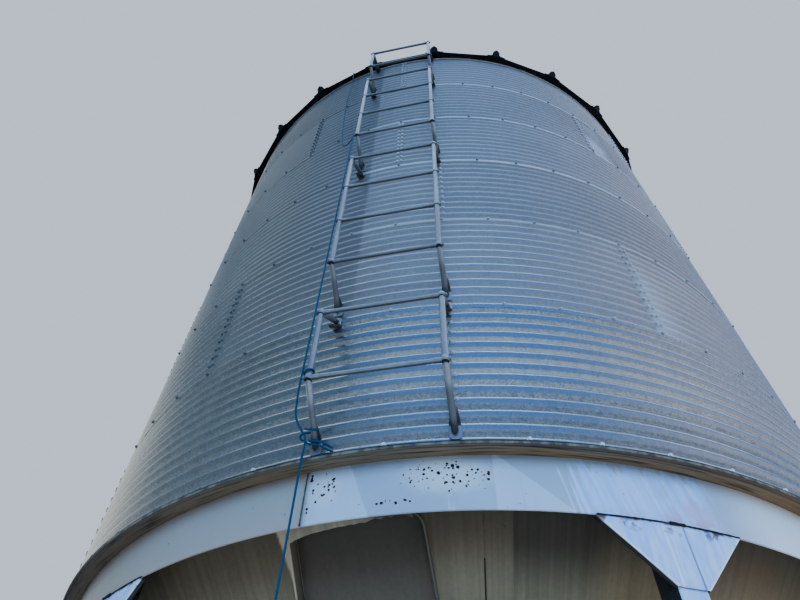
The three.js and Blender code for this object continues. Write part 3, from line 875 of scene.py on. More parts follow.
# %% [markdown]
# Bin bolts have hex heads on wide sealing washers. There are over a thousand on the wall, so one
# bolt is modelled with few faces and copied: a flat washer, a hex head and a bevelled crown. Bolts
# stand 6.67 degrees apart along each row, and in pairs on every crest up each joint. They were all
# put in by hand, so each copy is turned differently. Where the ladder's feet are, the row's own
# bolts are left out, because the feet bring theirs.

# %% Model a bin bolt
BOLT_ACROSS = 0.0146
BOLT_HEAD = 0.0055
WASHER_R = 0.0098
WASHER_PLATE = 0.0022


def hex_bolt(name, across=BOLT_ACROSS, head=BOLT_HEAD, washer_r=WASHER_R, washer=WASHER_PLATE):
    """A bolt head on a washer, facing -Y with its seat at the origin."""
    lying = (90, 0, 0)
    disc = rod(name + "_washer", 10, washer_r, washer, (0, -washer / 2, 0), lying)
    bolt = rod(name, 6, across / 2, head, (0, -washer - head / 2, 0), lying)
    edit(bolt)
    pick(bolt, "FACE", lambda face: face.normal.y < -0.9)
    bpy.ops.mesh.inset(thickness=across * 0.08, depth=0)
    bpy.ops.transform.translate(value=(0, -head * 0.12, 0))
    close()
    return join(name, [bolt, disc])


bolt = hex_bolt("bolt")
print(f"a bolt has {len(bolt.data.polygons)} faces")

# %% Bolt the wall together
ROW_STEP = 20 / 3
ROW_BOLTS = round(360 / ROW_STEP)
SEAM_BOLT_DEG = 0.33
LADDER_ROWS = (0, 1, 3, 5)
spins = random.Random(8)


def bolt_place(azimuth, up):
    """The matrix for a wall bolt, azimuth from the ladder's centre line and height up the wall."""
    spun = Matrix.Rotation(spins.random() * math.tau, 4, "Y")
    return turned_to(LADDER_AZ + azimuth, CREST_R + LAP, WALL_BASE + up) @ spun


for ring, joint in enumerate(RING_JOINTS):
    places = []
    for step in range(ROW_BOLTS):
        at_ladder = ring in LADDER_ROWS and step in (1, ROW_BOLTS - 1)
        if not at_ladder:
            places.append(bolt_place(ROW_STEP * step, RING * ring))
    for seam in range(round(360 / SHEET_DEG)):
        for crest in range(1, WAVES):
            for side in (-1, 1):
                azimuth = joint + SHEET_DEG * seam + side * SEAM_BOLT_DEG
                places.append(bolt_place(azimuth, RING * ring + WAVE_PITCH * crest))
    row = join(f"wall_bolts_{ring + 1}", [copy_of(bolt, place) for place in places])
    wall[ring, "bolts"] = smooth(row, 30)
print(f"{sum(len(wall[ring, 'bolts'].data.polygons) for ring in range(6))} faces in the bolts")

# %% [markdown]
# Galvanised steel is zinc crystals: a mosaic of flat patches, a centimetre across, that each
# reflect a little differently. On an old bin the zinc has dulled, dust lies in the valleys of the
# waves, rain has washed streaks down it, and every sheet has its own tone. Each of those is a mask
# here, made from the piece's coordinates: heights in metres above the wall's base and azimuths in
# degrees from the ladder. The lowest ring still shines, with dark dirt in its three lowest waves
# and sandy dust in the ones above, and a blue tint on its crests as a painted reflection of the sky.
# From the second ring up the zinc is chalky and calm. Left of the ladder lies a darker strip, and
# low on the left a darker patch, both painted shade. Pale lines along the sheets' lower edge at the
# foot, along the seams and under the eave are painted highlights. Two pale patches lie at sheet
# joints; the upper one is a painted reflection.

# %% Weathered galvanised steel
SPANGLES = 95
SOIL = ((0.250, 0.175, 0.112), (0.860, 0.590, 0.350))


class Zinc(Finish):
    """Galvanised steel: crystals of two sizes, clouds, streaks and the dust that settles."""

    def __init__(self, name):
        super().__init__(name)
        self.spangle = self.shades(SPANGLES)
        fleck = self.shades(260)
        self.cloud = self.noise(1.3, detail=5)
        self.streak = self.noise(1.0, detail=4, vector=self.stretched(26, 26, 0.7))
        self.tone = self.cloud * 0.58 + self.streak * 0.28 + self.spangle * 0.18 + fleck * 0.10
        self.settled = (self.upward() * 1.2 - 0.35).clamp() * 0.6
        self.speck = (self.spangle * 0.45 + fleck * 0.55).over(0.25, 0.75)
        self.facets = self.noise(30, detail=3) + self.cells(SPANGLES) * 0.7

    def plain(self, tone, dull, bright):
        """The bare metal's colour."""
        return self.mix(tone.over(0.25, 0.95), dull, bright)

    def rough(self, dust):
        """The metal's roughness under dust."""
        return self.spangle * 0.04 + 0.20 + dust * 0.18 + self.cloud * 0.06


def wall_steel():
    """The wall's sheets."""
    zinc = Zinc("galvanised_wall")
    azimuth = zinc.azimuth()
    up = zinc.axis("Z") - WALL_BASE
    phase = (up / WAVE_PITCH).fraction()
    sheet_tone = zinc.node("ShaderNodeAttribute", {"attribute_name": "sheet_tone"}, out="Fac")
    second = up.over(RING - 0.02, RING + 0.03)
    left = azimuth.under(-26, -8)
    chalky = (second * 0.30 + up.over(1.0, 3.2) * 0.70) * (1 - left * 0.6)
    calm = (second * 0.35 + up.over(0.7, 1.8) * 0.65 + left * 0.6).clamp()

    valley = (phase - azimuth.over(15, 35) * 0.06).over(0.25, 0.31)
    valley = valley * (phase - second * 0.15).under(0.63, 0.73)
    washed = chalky * 0.25 + left * 0.55 + azimuth.over(25, 45) * 0.25
    dust = (zinc.settled + valley * (zinc.streak * 0.6 + 0.45) * (1 - washed)).clamp()
    speck = zinc.speck * (1 - calm * 0.75) + calm * 0.35
    lowest = (1 - second) * (1 - left)
    sandy = up.over(0.22, 0.36) * (1 - up.over(0.48, 0.72) * 0.65) * azimuth.over(-14, 4)
    soil = zinc.coats(
        zinc.mix(speck, *SOIL),
        (second * 0.7, (0.38, 0.315, 0.285)),
        (lowest * up.under(0.13, 0.30) * 0.60, (0.105, 0.082, 0.058)),
        (lowest * sandy * 0.55, (1.0, 0.75, 0.49)),
    )

    # Painted reflection: a blue tint on the lowest ring's crests stands for the sky that they reflect.
    crest = up.under(0.66, 1.10) * (1 - left) * (0.6 - azimuth.over(10, 28) * 0.25)
    # Painted shade: a darker strip left of the ladder.
    ladder_side_shade = azimuth.between((-34, -10), (-5.4, -4.8)) * up.over(0.5, 1.4)
    # Painted shade: darker low on the left.
    low_left_shade = azimuth.between((-40, -14), (-9, 1)) * up.under(0.5, 1.5)
    # Painted highlight: a pale ragged line along the sheets' lower edge.
    edge = (up + zinc.noise(18, detail=5) * 0.014).under(0.001, 0.005)
    # Painted highlight: a pale line along the upper ring seams, from the ladder rightwards.
    seam_highlight = up.off_rows(RING).under(0.007, 0.017) * up.over(1.1, 1.8) * azimuth.over(-9, -4)
    # Painted reflection: a pale patch on the fifth ring, just right of a sheet joint.
    high_reflection_patch = azimuth.between((40.3, 41.0), (43.0, 47.0)) * up.between((2.95, 3.12), (3.55, 3.80))
    # A pale patch on the second ring, just right of a sheet joint.
    low_pale_patch = azimuth.between((32.6, 33.4), (33.5, 40.0)) * up.between((0.74, 0.80), (1.1, 1.5))
    pale_patches = high_reflection_patch * zinc.cloud.over(0.30, 0.55) + low_pale_patch * (zinc.streak * 0.35 + 0.35)
    # Painted highlight: a pale line under the eave.
    eave = up.over(EAVE_Z - WALL_BASE - 0.020, EAVE_Z - WALL_BASE - 0.012)
    # pale holds the painted highlights and the pale patches, and makes them rough and not metallic.
    pale = (edge * 0.9 + seam_highlight * 0.60 + pale_patches * 0.70 + eave * 0.8).clamp()
    colour = zinc.coats(
        zinc.plain(zinc.tone + sheet_tone * 0.28, (0.42, 0.42, 0.42), (0.68, 0.67, 0.66)),
        (crest, (0.48, 0.58, 0.67)),
        (dust * 0.85, soil),
        (ladder_side_shade * 0.42, (0.17, 0.20, 0.22)),
        (low_left_shade * 0.20, (0.15, 0.17, 0.18)),
        (pale, (0.80, 0.80, 0.83)),
    )
    metallic = (0.92 - dust * 0.50) * (1 - pale)
    roughness = zinc.rough(dust) + chalky * 0.20 + pale * 0.3
    return zinc.surface(colour, roughness, metallic, height=zinc.facets * (1 - calm * 0.85), bump=0.00012)


def bolt_steel():
    """Bolts that still shine on the two lowest rings, with painted highlight at the foot and painted
    shade higher up and on the left.
    """
    steel = Finish("bolt_zinc")
    z = steel.axis("Z")
    # Painted shade: bolts higher up are darker; their zinc is also rougher there.
    high_shade_and_dulling = (z + steel.noise(3, detail=3) * 0.8).over(WALL_BASE + 1.5, WALL_BASE + 2.6)
    # Painted highlight: bolts at the wall's foot are lighter than those above.
    above_foot = z.over(WALL_BASE + 0.03, WALL_BASE + 0.05)
    off_row = (z - WALL_BASE).off_rows(RING).over(0.020, 0.025)
    colour = steel.coats(
        steel.mix(above_foot, (0.90, 0.91, 0.92), (0.58, 0.61, 0.65)),
        (high_shade_and_dulling, steel.mix(off_row, (0.30, 0.32, 0.35), (0.72, 0.75, 0.79))),
        # Painted shade: bolts left of the ladder are dark.
        (steel.azimuth().under(-19, -10) * 0.85, (0.15, 0.18, 0.19)),
    )
    metallic = (above_foot * 0.3 + 0.2) * (1 - off_row * 0.6)
    return steel.surface(colour, high_shade_and_dulling * 0.2 + 0.34, metallic)


wall_zinc = wall_steel()
bolt_zinc = bolt_steel()
for ring in range(len(RING_JOINTS)):
    for half, _ in HALVES:
        show(wall[ring, half], wall_zinc, [f"wall_ring_{ring + 1}_{half}"])
    show(wall[ring, "bolts"], bolt_zinc)
print("wall finished")

# %% [markdown]
# Under the wall runs the hopper's ring, a rolled angle: its level leg carries the sheets, and its
# upright leg stands inside them. Below it is the band, a deep strip of plate welded round under the
# ring. Both are turned, with their corners eased by a small bevel, because plate edges are never
# quite sharp under paint.

# %% Turn the base ring and the band
TURN_STEPS = 216
BAND_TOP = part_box("hopper_band_east")[1].z
BAND_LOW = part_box("hopper_band_east")[0].z
BAND_R = reach("hopper_band_east")
BAND_PLATE = 0.008
BAND_IN = BAND_R - BAND_PLATE
BAND_JOINT = -8.1
FLANGE_R = reach("base_ring")
RING_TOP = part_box("base_ring")[1].z
LIP_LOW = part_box("base_ring")[0].z
RING_PLATE = 0.006
FLANGE_TOP = BAND_TOP + RING_PLATE
UPSTAND_R = CREST_R - WAVE_DEPTH - SHEET_PLATE - LAP

angle_section = [
    (BAND_IN, BAND_TOP),
    (FLANGE_R - RING_PLATE, BAND_TOP),
    (FLANGE_R - RING_PLATE, LIP_LOW),
    (FLANGE_R, LIP_LOW),
    (FLANGE_R, FLANGE_TOP),
    (UPSTAND_R, FLANGE_TOP),
    (UPSTAND_R, RING_TOP),
    (UPSTAND_R - RING_PLATE, RING_TOP),
    (UPSTAND_R - RING_PLATE, FLANGE_TOP),
    (BAND_IN, FLANGE_TOP),
]
base_ring = smooth(eased(turned("ring", angle_section, TURN_STEPS), 0.0012))

band_section = [(BAND_IN, BAND_LOW), (BAND_R, BAND_LOW), (BAND_R, BAND_TOP), (BAND_IN, BAND_TOP)]
bands = {}
for half, turn in HALVES:
    first = LADDER_AZ + BAND_JOINT + turn + 0.02
    band = turned(f"band_{half}", band_section, TURN_STEPS // 2, first, 179.96)
    bands[half] = smooth(eased(band, 0.0015))
print("ring and band turned")

# %% [markdown]
# The cone is six plates welded edge to edge. One plate is turned through a sixth of a circle and
# copied. The last one has the access opening, which is cut with a box that lies in the plane of
# the cone's face at that place.

# %% Turn the cone's plates
CONE_TOP_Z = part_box("cone_sheet_1")[1].z
CONE_R = reach("cone_sheet_1")
CONE_PLATE = 0.005 * math.sqrt(2)
OUTLET_R = 0.203
OUTLET_Z = CONE_TOP_Z - (CONE_R - OUTLET_R)
CONE_JOINT = 9
CONE_DEG = 60.0
HATCH_AZ = LADDER_AZ - 4.3
HATCH_WIDTH = 0.496
HATCH_LENGTH = 0.600
HATCH_TOP_Z = WALL_BASE - 0.143
HATCH_BAR = 0.006
HATCH_DEPTH = 0.072
HATCH_PROUD = 0.012
HATCH_GAP = 0.0003
HATCH_CORNER = 0.060
COVER_DEPTH = 0.050
COVER_PLATE = 0.005
CUTTER_REACH = 0.2
half_fall = HATCH_LENGTH / 2 * math.cos(math.radians(45))
hatch_run = CONE_R - (CONE_TOP_Z - HATCH_TOP_Z) - half_fall
ON_HATCH = turned_to(HATCH_AZ, hatch_run, HATCH_TOP_Z - half_fall) @ tipped(135)


def hatch_box(name, grown, low, high):
    """A box in the access opening, from low to high off the cone, with one upper corner round."""
    size = (HATCH_WIDTH + 2 * grown, HATCH_LENGTH + 2 * grown, high - low)
    box = block(name, size, (0, 0, (low + high) / 2))
    edit(box)
    pick(box, "EDGE", lambda edge: all(min(vertex.co.x, vertex.co.y) > 0.1 for vertex in edge.verts))
    bpy.ops.mesh.bevel(offset=HATCH_CORNER + max(grown, 0), segments=8, affect="EDGES")
    close()
    box.matrix_world = ON_HATCH
    return settle(box)


plate_section = [
    (OUTLET_R, OUTLET_Z),
    (CONE_R, CONE_TOP_Z),
    (CONE_R - CONE_PLATE, CONE_TOP_Z),
    (OUTLET_R, OUTLET_Z + CONE_PLATE),
]
plate = turned("plate", plate_section, TURN_STEPS // 6, 0.01, CONE_DEG - 0.02)
cone = []
for index in range(6):
    copy = copy_of(plate, turned_to(LADDER_AZ + CONE_JOINT + CONE_DEG * index))
    cone.append(join(f"cone_plate_{index + 1}", [copy]))
discard(plate)
cutter = hatch_box("cutter", HATCH_BAR + HATCH_GAP, -CUTTER_REACH, CUTTER_REACH)
modify(cone[-1], "BOOLEAN", object=cutter, operation="DIFFERENCE", solver="EXACT")
discard(cutter)
for piece in cone:
    smooth(piece)
print(f"{len(cone)} cone plates")

# %% [markdown]
# The access opening has a frame of bent bar set into the cone and a cover plate set back in it.
# The frame is a box whose two ends are deleted, which leaves a tube, and a Solidify modifier gives
# the tube its wall. A strip of the plate was left along the top when the opening was cut out by
# torch, so a flat grid gets a ragged lower edge. The cover is pressed with a shallow raised field.

# %% Frame the access opening
TORN_EDGE = (
    0.246, 0.254, 0.259, 0.264, 0.268, 0.271, 0.272, 0.275, 0.276, 0.278, 0.280, 0.279, 0.282,
    0.280, 0.284, 0.281, 0.286, 0.292, 0.285, 0.293, 0.287, 0.294, 0.290, 0.286, 0.276,
)
TORN_STEPS = len(TORN_EDGE) - 1
LIP_WIDTH = HATCH_WIDTH - 0.030
LIP_STRIP = 0.002
out_of_cone = (turned_to(HATCH_AZ).to_3x3() @ Vector((0, -1, -1))).normalized()

hatch_frame = hatch_box("hatch_surround", HATCH_BAR, -HATCH_DEPTH, HATCH_PROUD)
edit(hatch_frame)
pick(hatch_frame, "FACE", lambda face: abs(face.normal.dot(out_of_cone)) > 0.9)
bpy.ops.mesh.delete(type="FACE")
close()
modify(hatch_frame, "SOLIDIFY", thickness=HATCH_BAR, offset=-1)

lip_top = HATCH_LENGTH / 2 + HATCH_BAR
add_grid = bpy.ops.mesh.primitive_grid_add
lip = start("lip", add_grid, x_subdivisions=TORN_STEPS, y_subdivisions=1, size=1)
lip.scale = (LIP_WIDTH, LIP_STRIP, 1)
lip.location = (-0.015, lip_top - LIP_STRIP / 2, 0.009)
settle(lip)
edit(lip)
lip_left = min(vertex.co.x for vertex in lip.data.vertices)
for index, low in enumerate(TORN_EDGE):
    x = lip_left + index * LIP_WIDTH / TORN_STEPS
    pick(lip, "VERT", lambda vertex: abs(vertex.co.x - x) < 0.001 and vertex.co.y < lip_top - 0.001)
    bpy.ops.transform.translate(value=(0, low - lip_top + LIP_STRIP, 0))
close()
modify(lip, "SOLIDIFY", thickness=0.003, offset=0)
lip.matrix_world = ON_HATCH
hatch_frame = smooth(eased(join("hatch_surround", [hatch_frame, settle(lip)]), 0.0012))

hatch_cover = hatch_box("hatch_plate", -HATCH_GAP, -COVER_DEPTH - COVER_PLATE, -COVER_DEPTH)
edit(hatch_cover)
pick(hatch_cover, "FACE", lambda face: face.normal.dot(out_of_cone) > 0.9)
bpy.ops.mesh.inset(thickness=0.045, depth=0)
bpy.ops.mesh.inset(thickness=0.012, depth=-0.004)
close()
smooth(eased(hatch_cover, 0.002))
print("access opening framed")

# %% [markdown]
# Welds hold the hopper together. A weld is a bead of small overlapping ripples, so each one here is
# a thin bar along the joint whose radius rises and falls.

# %% Lay the weld beads
PROUD = 0.0005
BEAD_R = 0.0026
ripples = random.Random(3)


def weld(line, radius=BEAD_R):
    """A rippled bead along a line."""
    return bar("bead", line, radius, 1, lambda index: 0.8 + 0.45 * ripples.random())


def down_cone(azimuth, step=0.03):
    """Points down the cone's face at an azimuth from the ladder's centre line."""
    count = round((CONE_R - OUTLET_R) / step)
    points = []
    for index in range(round(count * 0.13), count + 1):
        fall = (CONE_R - OUTLET_R) * index / count
        points.append(around(CONE_R - fall + PROUD, LADDER_AZ + azimuth, CONE_TOP_Z - fall - PROUD))
    return points


def up_band(azimuth):
    """Points up the band's joint."""
    return [
        around(BAND_R + PROUD, LADDER_AZ + azimuth, BAND_LOW + 0.002 + 0.0106 * step)
        for step in range(21)
    ]


beads = [weld(down_cone(CONE_JOINT + CONE_DEG * index), 0.0024) for index in range(6)]
for half, turn in HALVES:
    beads.append(weld(up_band(BAND_JOINT + turn)))
cone_welds = smooth(join("hopper_welds", beads), 60)
print(f"{len(cone_welds.data.polygons)} faces in the welds")

# %% [markdown]
# Each leg is a square tube from a base plate on the ground up to the cone. A folded gusset plate
# spreads its load into the band: it is wide at the top, narrow at the bottom, and folded on both
# sides of the tube so that its wings follow the round band. Its slanting edges are turned inwards
# to stiffen it. One leg is modelled at azimuth 0 and copied six times.

# %% Model a leg
LEG_SIZE = 0.102
LEG_OUT = BAND_IN - 0.0018
LEG_MIDDLE = -(LEG_OUT - LEG_SIZE / 2)
BASE_PLATE = 0.250
BASE_THICK = 0.012
NUT_INSET = 0.032
GUSSET_TOP = 0.520
GUSSET_FOOT = 0.106
GUSSET_HEIGHT = 0.213
GUSSET_PLATE = 0.010
GUSSET_FOLD = 0.034
GUSSET_RETURN = 0.020
GUSSET_SLANT = (GUSSET_TOP - GUSSET_FOOT) / 2 / GUSSET_HEIGHT
FOLD_DEG = math.degrees(math.asin(GUSSET_FOLD / BAND_R))
TIP_DEG = math.degrees(math.asin(GUSSET_TOP / 2 / BAND_R))


def leg_tube():
    """The square tube, cut off under the slope of the cone."""
    height = CONE_TOP_Z - BASE_THICK
    tube = block("leg", (LEG_SIZE, LEG_SIZE, height), (0, LEG_MIDDLE, BASE_THICK + height / 2))
    edit(tube)
    pick(tube, "EDGE", lambda edge: abs(edge.verts[0].co.z - edge.verts[1].co.z) > 1)
    bpy.ops.mesh.bevel(offset=0.010, segments=3, affect="EDGES")
    select_everything()
    under_cone = (0, -LEG_OUT, CONE_TOP_Z - (CONE_R - LEG_OUT) - 0.0006)
    bpy.ops.mesh.bisect(plane_co=under_cone, plane_no=(0, -1, -1), clear_inner=True, use_fill=True)
    close()
    return tube


def gusset():
    """The folded plate under the band, with a weld up each fold."""
    corners = [around(BAND_R, azimuth, BAND_LOW) for azimuth in (-TIP_DEG, -FOLD_DEG, FOLD_DEG, TIP_DEG)]
    plate = chain("gusset", corners)
    extrude((0, 0, -GUSSET_HEIGHT))
    for side in (-1, 1):
        select_everything()
        edge = (side * GUSSET_TOP / 2, 0, BAND_LOW)
        bpy.ops.mesh.bisect(plane_co=edge, plane_no=(side, 0, -GUSSET_SLANT))

        def past_edge(face):
            middle = face.calc_center_median()
            return side * middle.x > GUSSET_TOP / 2 + (middle.z - BAND_LOW) * GUSSET_SLANT

        pick(plate, "FACE", past_edge)
        bpy.ops.mesh.delete(type="FACE")

    def slanting(edge):
        along = edge.verts[0].co - edge.verts[1].co
        return abs(along.z) > 0.01 and abs(along.x) > 0.01

    pick(plate, "EDGE", slanting)
    extrude((0, GUSSET_RETURN, 0))
    face_outwards(plate)
    modify(plate, "SOLIDIFY", thickness=GUSSET_PLATE, offset=-1)
    pieces = [eased(plate, 0.0012)]
    for side in (-1, 1):
        high = around(BAND_R, side * FOLD_DEG, BAND_LOW - 0.006)
        low = around(BAND_R, side * FOLD_DEG * 1.15, BAND_LOW - GUSSET_HEIGHT + 0.004)
        pieces.append(bar("crease", [high, low], 0.0022))
    return join("gusset", pieces)


def footing():
    """The base plate with its four anchor nuts."""
    plate = block("footing", (BASE_PLATE, BASE_PLATE, BASE_THICK), (0, LEG_MIDDLE, BASE_THICK / 2))
    nut = hex_bolt("nut", across=0.028, head=0.012, washer_r=0.019, washer=0.003)
    out = BASE_PLATE / 2 - NUT_INSET
    pieces = [eased(plate, 0.0015)]
    for x in (-out, out):
        for y in (-out, out):
            place = Matrix.Translation((x, LEG_MIDDLE + y, BASE_THICK))
            pieces.append(copy_of(nut, place @ tipped(-90)))
    discard(nut)
    return join("footing", pieces)


leg = smooth(join("leg", [leg_tube(), gusset(), footing()]), 30)
legs = [join(f"leg_post_{index + 1}", [copy_of(leg, turned_to(60 * index))]) for index in range(6)]
discard(leg)
print(f"{len(legs)} legs")

# %% [markdown]
# A weld along the band's lower edge holds each gusset, with a lump in its middle where the welder
# stopped and started again.

# %% Weld the gussets to the band
def under_band(run, first, last, step):
    """Points along the band's lower edge, between two azimuths."""
    count = max(2, round((last - first) / step))
    return [
        around(run, first + (last - first) * index / count, BAND_LOW) for index in range(count + 1)
    ]


gusset_beads = []
for index in range(6):
    middle = 60 * index
    tip = TIP_DEG - 0.1
    gusset_beads.append(weld(under_band(BAND_R + PROUD, middle - tip, middle + tip, 0.25)))
    gusset_beads.append(weld(under_band(BAND_R + 2 * PROUD, middle - 0.2, middle + 1.3, 0.3), 0.0058))
gusset_welds = smooth(join("gusset_welds", gusset_beads), 60)
print(f"{len(gusset_welds.data.polygons)} faces in the gussets' welds")

# %% [markdown]
# Under the cone come the outlet neck, a short rolled tube, and the slide gate: a square frame of
# flat bar, bolted to the neck's flange, with a plate that slides in it and a handle to pull.

# %% Add the outlet
NECK_LOW, NECK_HIGH = (corner.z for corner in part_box("outlet_neck"))
NECK_R = reach("outlet_neck")
NECK_IN = NECK_R - 0.005
GATE_LOW, GATE_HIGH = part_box("outlet_gate")
GATE_RAIL = 0.060
neck_section = [(NECK_IN, NECK_LOW), (NECK_R, NECK_LOW), (NECK_R, NECK_HIGH), (NECK_IN, NECK_HIGH)]
neck = smooth(eased(turned("neck", neck_section, 72), 0.001))


def gate():
    """The gate's frame, its plate and its handle, with a bolt at every corner and side."""
    size = GATE_HIGH.x - GATE_LOW.x
    low = GATE_LOW.z
    surround = block("gate", (size, size, NECK_LOW - low), (0, 0, (NECK_LOW + low) / 2))
    edit(surround)
    pick(surround, "FACE", lambda face: abs(face.normal.z) > 0.9)
    bpy.ops.mesh.inset(thickness=GATE_RAIL, depth=0)
    bpy.ops.mesh.bridge_edge_loops()
    close()
    eased(surround, 0.002)
    slide_z = NECK_LOW - 0.034
    opening = size - 2 * GATE_RAIL - 0.002
    slide = block("slide", (opening, opening, 0.006), (0, 0, slide_z))
    end = GATE_LOW.y + 0.010
    stem = bar("stem", [Vector((0, -size / 2 + 0.02, slide_z)), Vector((0, end, slide_z))], 0.009)
    grip = bar("grip", [Vector((x, end, slide_z)) for x in (-0.094, 0.094)], 0.010)
    out = (size - GATE_RAIL) / 2
    bolts = [
        copy_of(bolt, Matrix.Translation((x * out, y * out, low + 0.001)) @ tipped(90))
        for x in (-1, 0, 1)
        for y in (-1, 0, 1)
        if x or y
    ]
    return smooth(join("gate", [surround, slide, stem, grip, *bolts]), 30)


outlet_gate = gate()
print("outlet added")

# %% [markdown]
# The hopper was painted white long ago. The paint on the band is chalky and brushed over in places
# in a brighter white, with rust chips in clusters where stones hit it, a patch of thin brush strokes
# over the leg's gusset whose strong blue is a painted reflection of the sky, a painted shadow along
# the band's joint, and rust along the welds. Each place is said in degrees from the ladder's centre
# line and in height, as one would measure it on the real band.

# %% Chipped white paint
# A newer coat: its first and last azimuth, and how far its last edge leans, in degrees a metre
NEWER_COATS = ((-7.9, -2.7, 10.0), (9.9, 13.4, 30.0))
# A cluster of chips: azimuth, height, half its width in degrees, half its height, and creaminess
CHIP_CLUSTERS = (
    (-6.0, 0.135, 1.4, 0.066, 0.8),
    (-7.6, 0.125, 0.25, 0.110, 0.0),
    (5.7, 0.140, 3.4, 0.070, 1.0),
    (0.6, 0.042, 3.2, 0.012, 0.0),
    (9.2, 0.120, 0.4, 0.030, 0.0),
)
BLUSH = (28.6, 0.075, 3.4, 0.12)
# A size of chip: cells a metre, how rare it is, and its greatest share of a cell
CHIP_SIZES = ((78, 0.10, 0.62), (36, 0.60, 0.50))


def white_paint():
    """Old white paint with touched-up patches, chips and rust at the welds."""
    white = Finish("white_paint")
    azimuth = white.azimuth()
    up = white.axis("Z") - BAND_LOW
    chalk = white.noise(2.2, detail=5)
    grime = white.noise(1.0, detail=5, vector=white.stretched(14, 14, 1.2))
    brush = white.noise(1.0, detail=3, vector=white.stretched(160, 160, 14))
    ragged = white.noise(9, detail=5) * 0.9 - 0.45

    def patch(middle, height, half_deg, half_height, soft):
        """1 inside an ellipse on the band with a ragged edge, 0 outside."""
        across = (azimuth - middle) / half_deg
        above = (up - height) / half_height
        far = (across * across + above * above) ** 0.5 + ragged
        return far.under(1 - soft, 1 + soft)

    colour = white.mix(chalk.over(0.3, 0.75), (0.50, 0.55, 0.62), (0.59, 0.64, 0.71))
    for first, last, lean in NEWER_COATS:
        slanted = azimuth + (up - 0.11) * lean + (chalk - 0.5) * 0.8
        coat = azimuth.over(first, first + 0.08) * slanted.under(last, last + 0.12)
        colour = white.mix(coat * 0.7, colour, (0.73, 0.78, 0.85))

    drip = (grime.over(0.60, 0.66) - azimuth.over(9, 10)).clamp() * azimuth.over(-2, -1)
    stroke = white.noise(1.0, detail=4, vector=white.xyz(azimuth * 1.6 + up * 8, up * 3, 0.0)) - 0.5
    strokes = (azimuth + stroke * 7).over(16.4, 17.8) * (azimuth + stroke * 5).under(29.5, 31.5)
    strokes = strokes * (up + stroke * 0.14).under(0.170, 0.215) * (stroke + 1.0)
    # Painted reflection: the strokes' strong blue stands for the sky reflected in fresh paint.
    brushed = white.mix(stroke.over(-0.12, 0.14), (0.50, 0.71, 1.0), (0.70, 0.81, 1.0))
    by_weld = azimuth.between((17.5, 19), (32.5, 34)) * up.under(0.010, 0.045)
    pink = (patch(*BLUSH, 0.6) * 0.65 + by_weld * 0.5) * white.noise(11, detail=4).over(0.45, 0.62)
    # Grime in clouds, and a painted shadow in a grey strip along the band's joint.
    grime_and_joint_shadow = grime.over(0.55, 0.8) * 0.2 + azimuth.between((-8.4, -8.0), (-7.9, -7.4)) * 0.4
    older = azimuth.between((-110, -90), (-7.95, -7.85)) * (0.92 - azimuth.over(-45, -15) * 0.22)
    colour = white.coats(
        colour,
        (drip * 0.5, (0.88, 0.91, 0.95)),
        (strokes.clamp(), brushed),
        (pink.clamp(), (0.66, 0.54, 0.68)),
        (grime_and_joint_shadow.clamp(), (0.42, 0.39, 0.33)),
        (older, (0.54, 0.41, 0.30)),
        (azimuth.between((30, 38), (70, 90)) * 0.9, (0.90, 0.89, 0.86)),
    )

    chipped = 0
    for *place, creamy in CHIP_CLUSTERS:
        near = patch(*place, 0.5)
        chipped = chipped + near
        colour = white.mix(near * creamy * 0.8, colour, (0.88, 0.84, 0.78))
    chipped = chipped.clamp()
    uneven = white.noise(70, detail=2)
    chip = 0
    for scale, rarity, most in CHIP_SIZES:
        size = white.shades(scale).over(rarity, 1.2) * most * chipped
        chip = chip + (white.cells(scale) + (uneven - 0.5) * 0.6 - size).under(-0.04, 0.02)
    chip = chip.clamp()
    rust = white.mix(uneven.over(0.35, 0.65), (0.016, 0.008, 0.006), (0.150, 0.052, 0.020))
    relief = brush * 0.35 + chip * -1.5 + chalk * 0.3
    roughness = chalk * 0.18 + 0.42 + chip * 0.35
    return white.surface(
        white.mix(chip, colour, rust), roughness, height=relief, bump=0.0006, specular=0.4
    )


paint = white_paint()
for half in bands:
    show(bands[half], paint, [f"hopper_band_{half}"])
print("band painted")

# %% [markdown]
# The legs carry the same paint, but it was brushed on thickly over the gussets, so that a raking
# light shows the strokes. Its strong blue is painted light from the sky. The gussets' slanting
# edges and first fold are painted white as painted highlights, and the second fold blue-grey as
# painted shade. Faces that look sideways or inwards, high on the legs, are painted near black as
# painted shade. Rust has bled out of the weld under the band, and dirt splashes up from the ground
# over the lowest half metre.

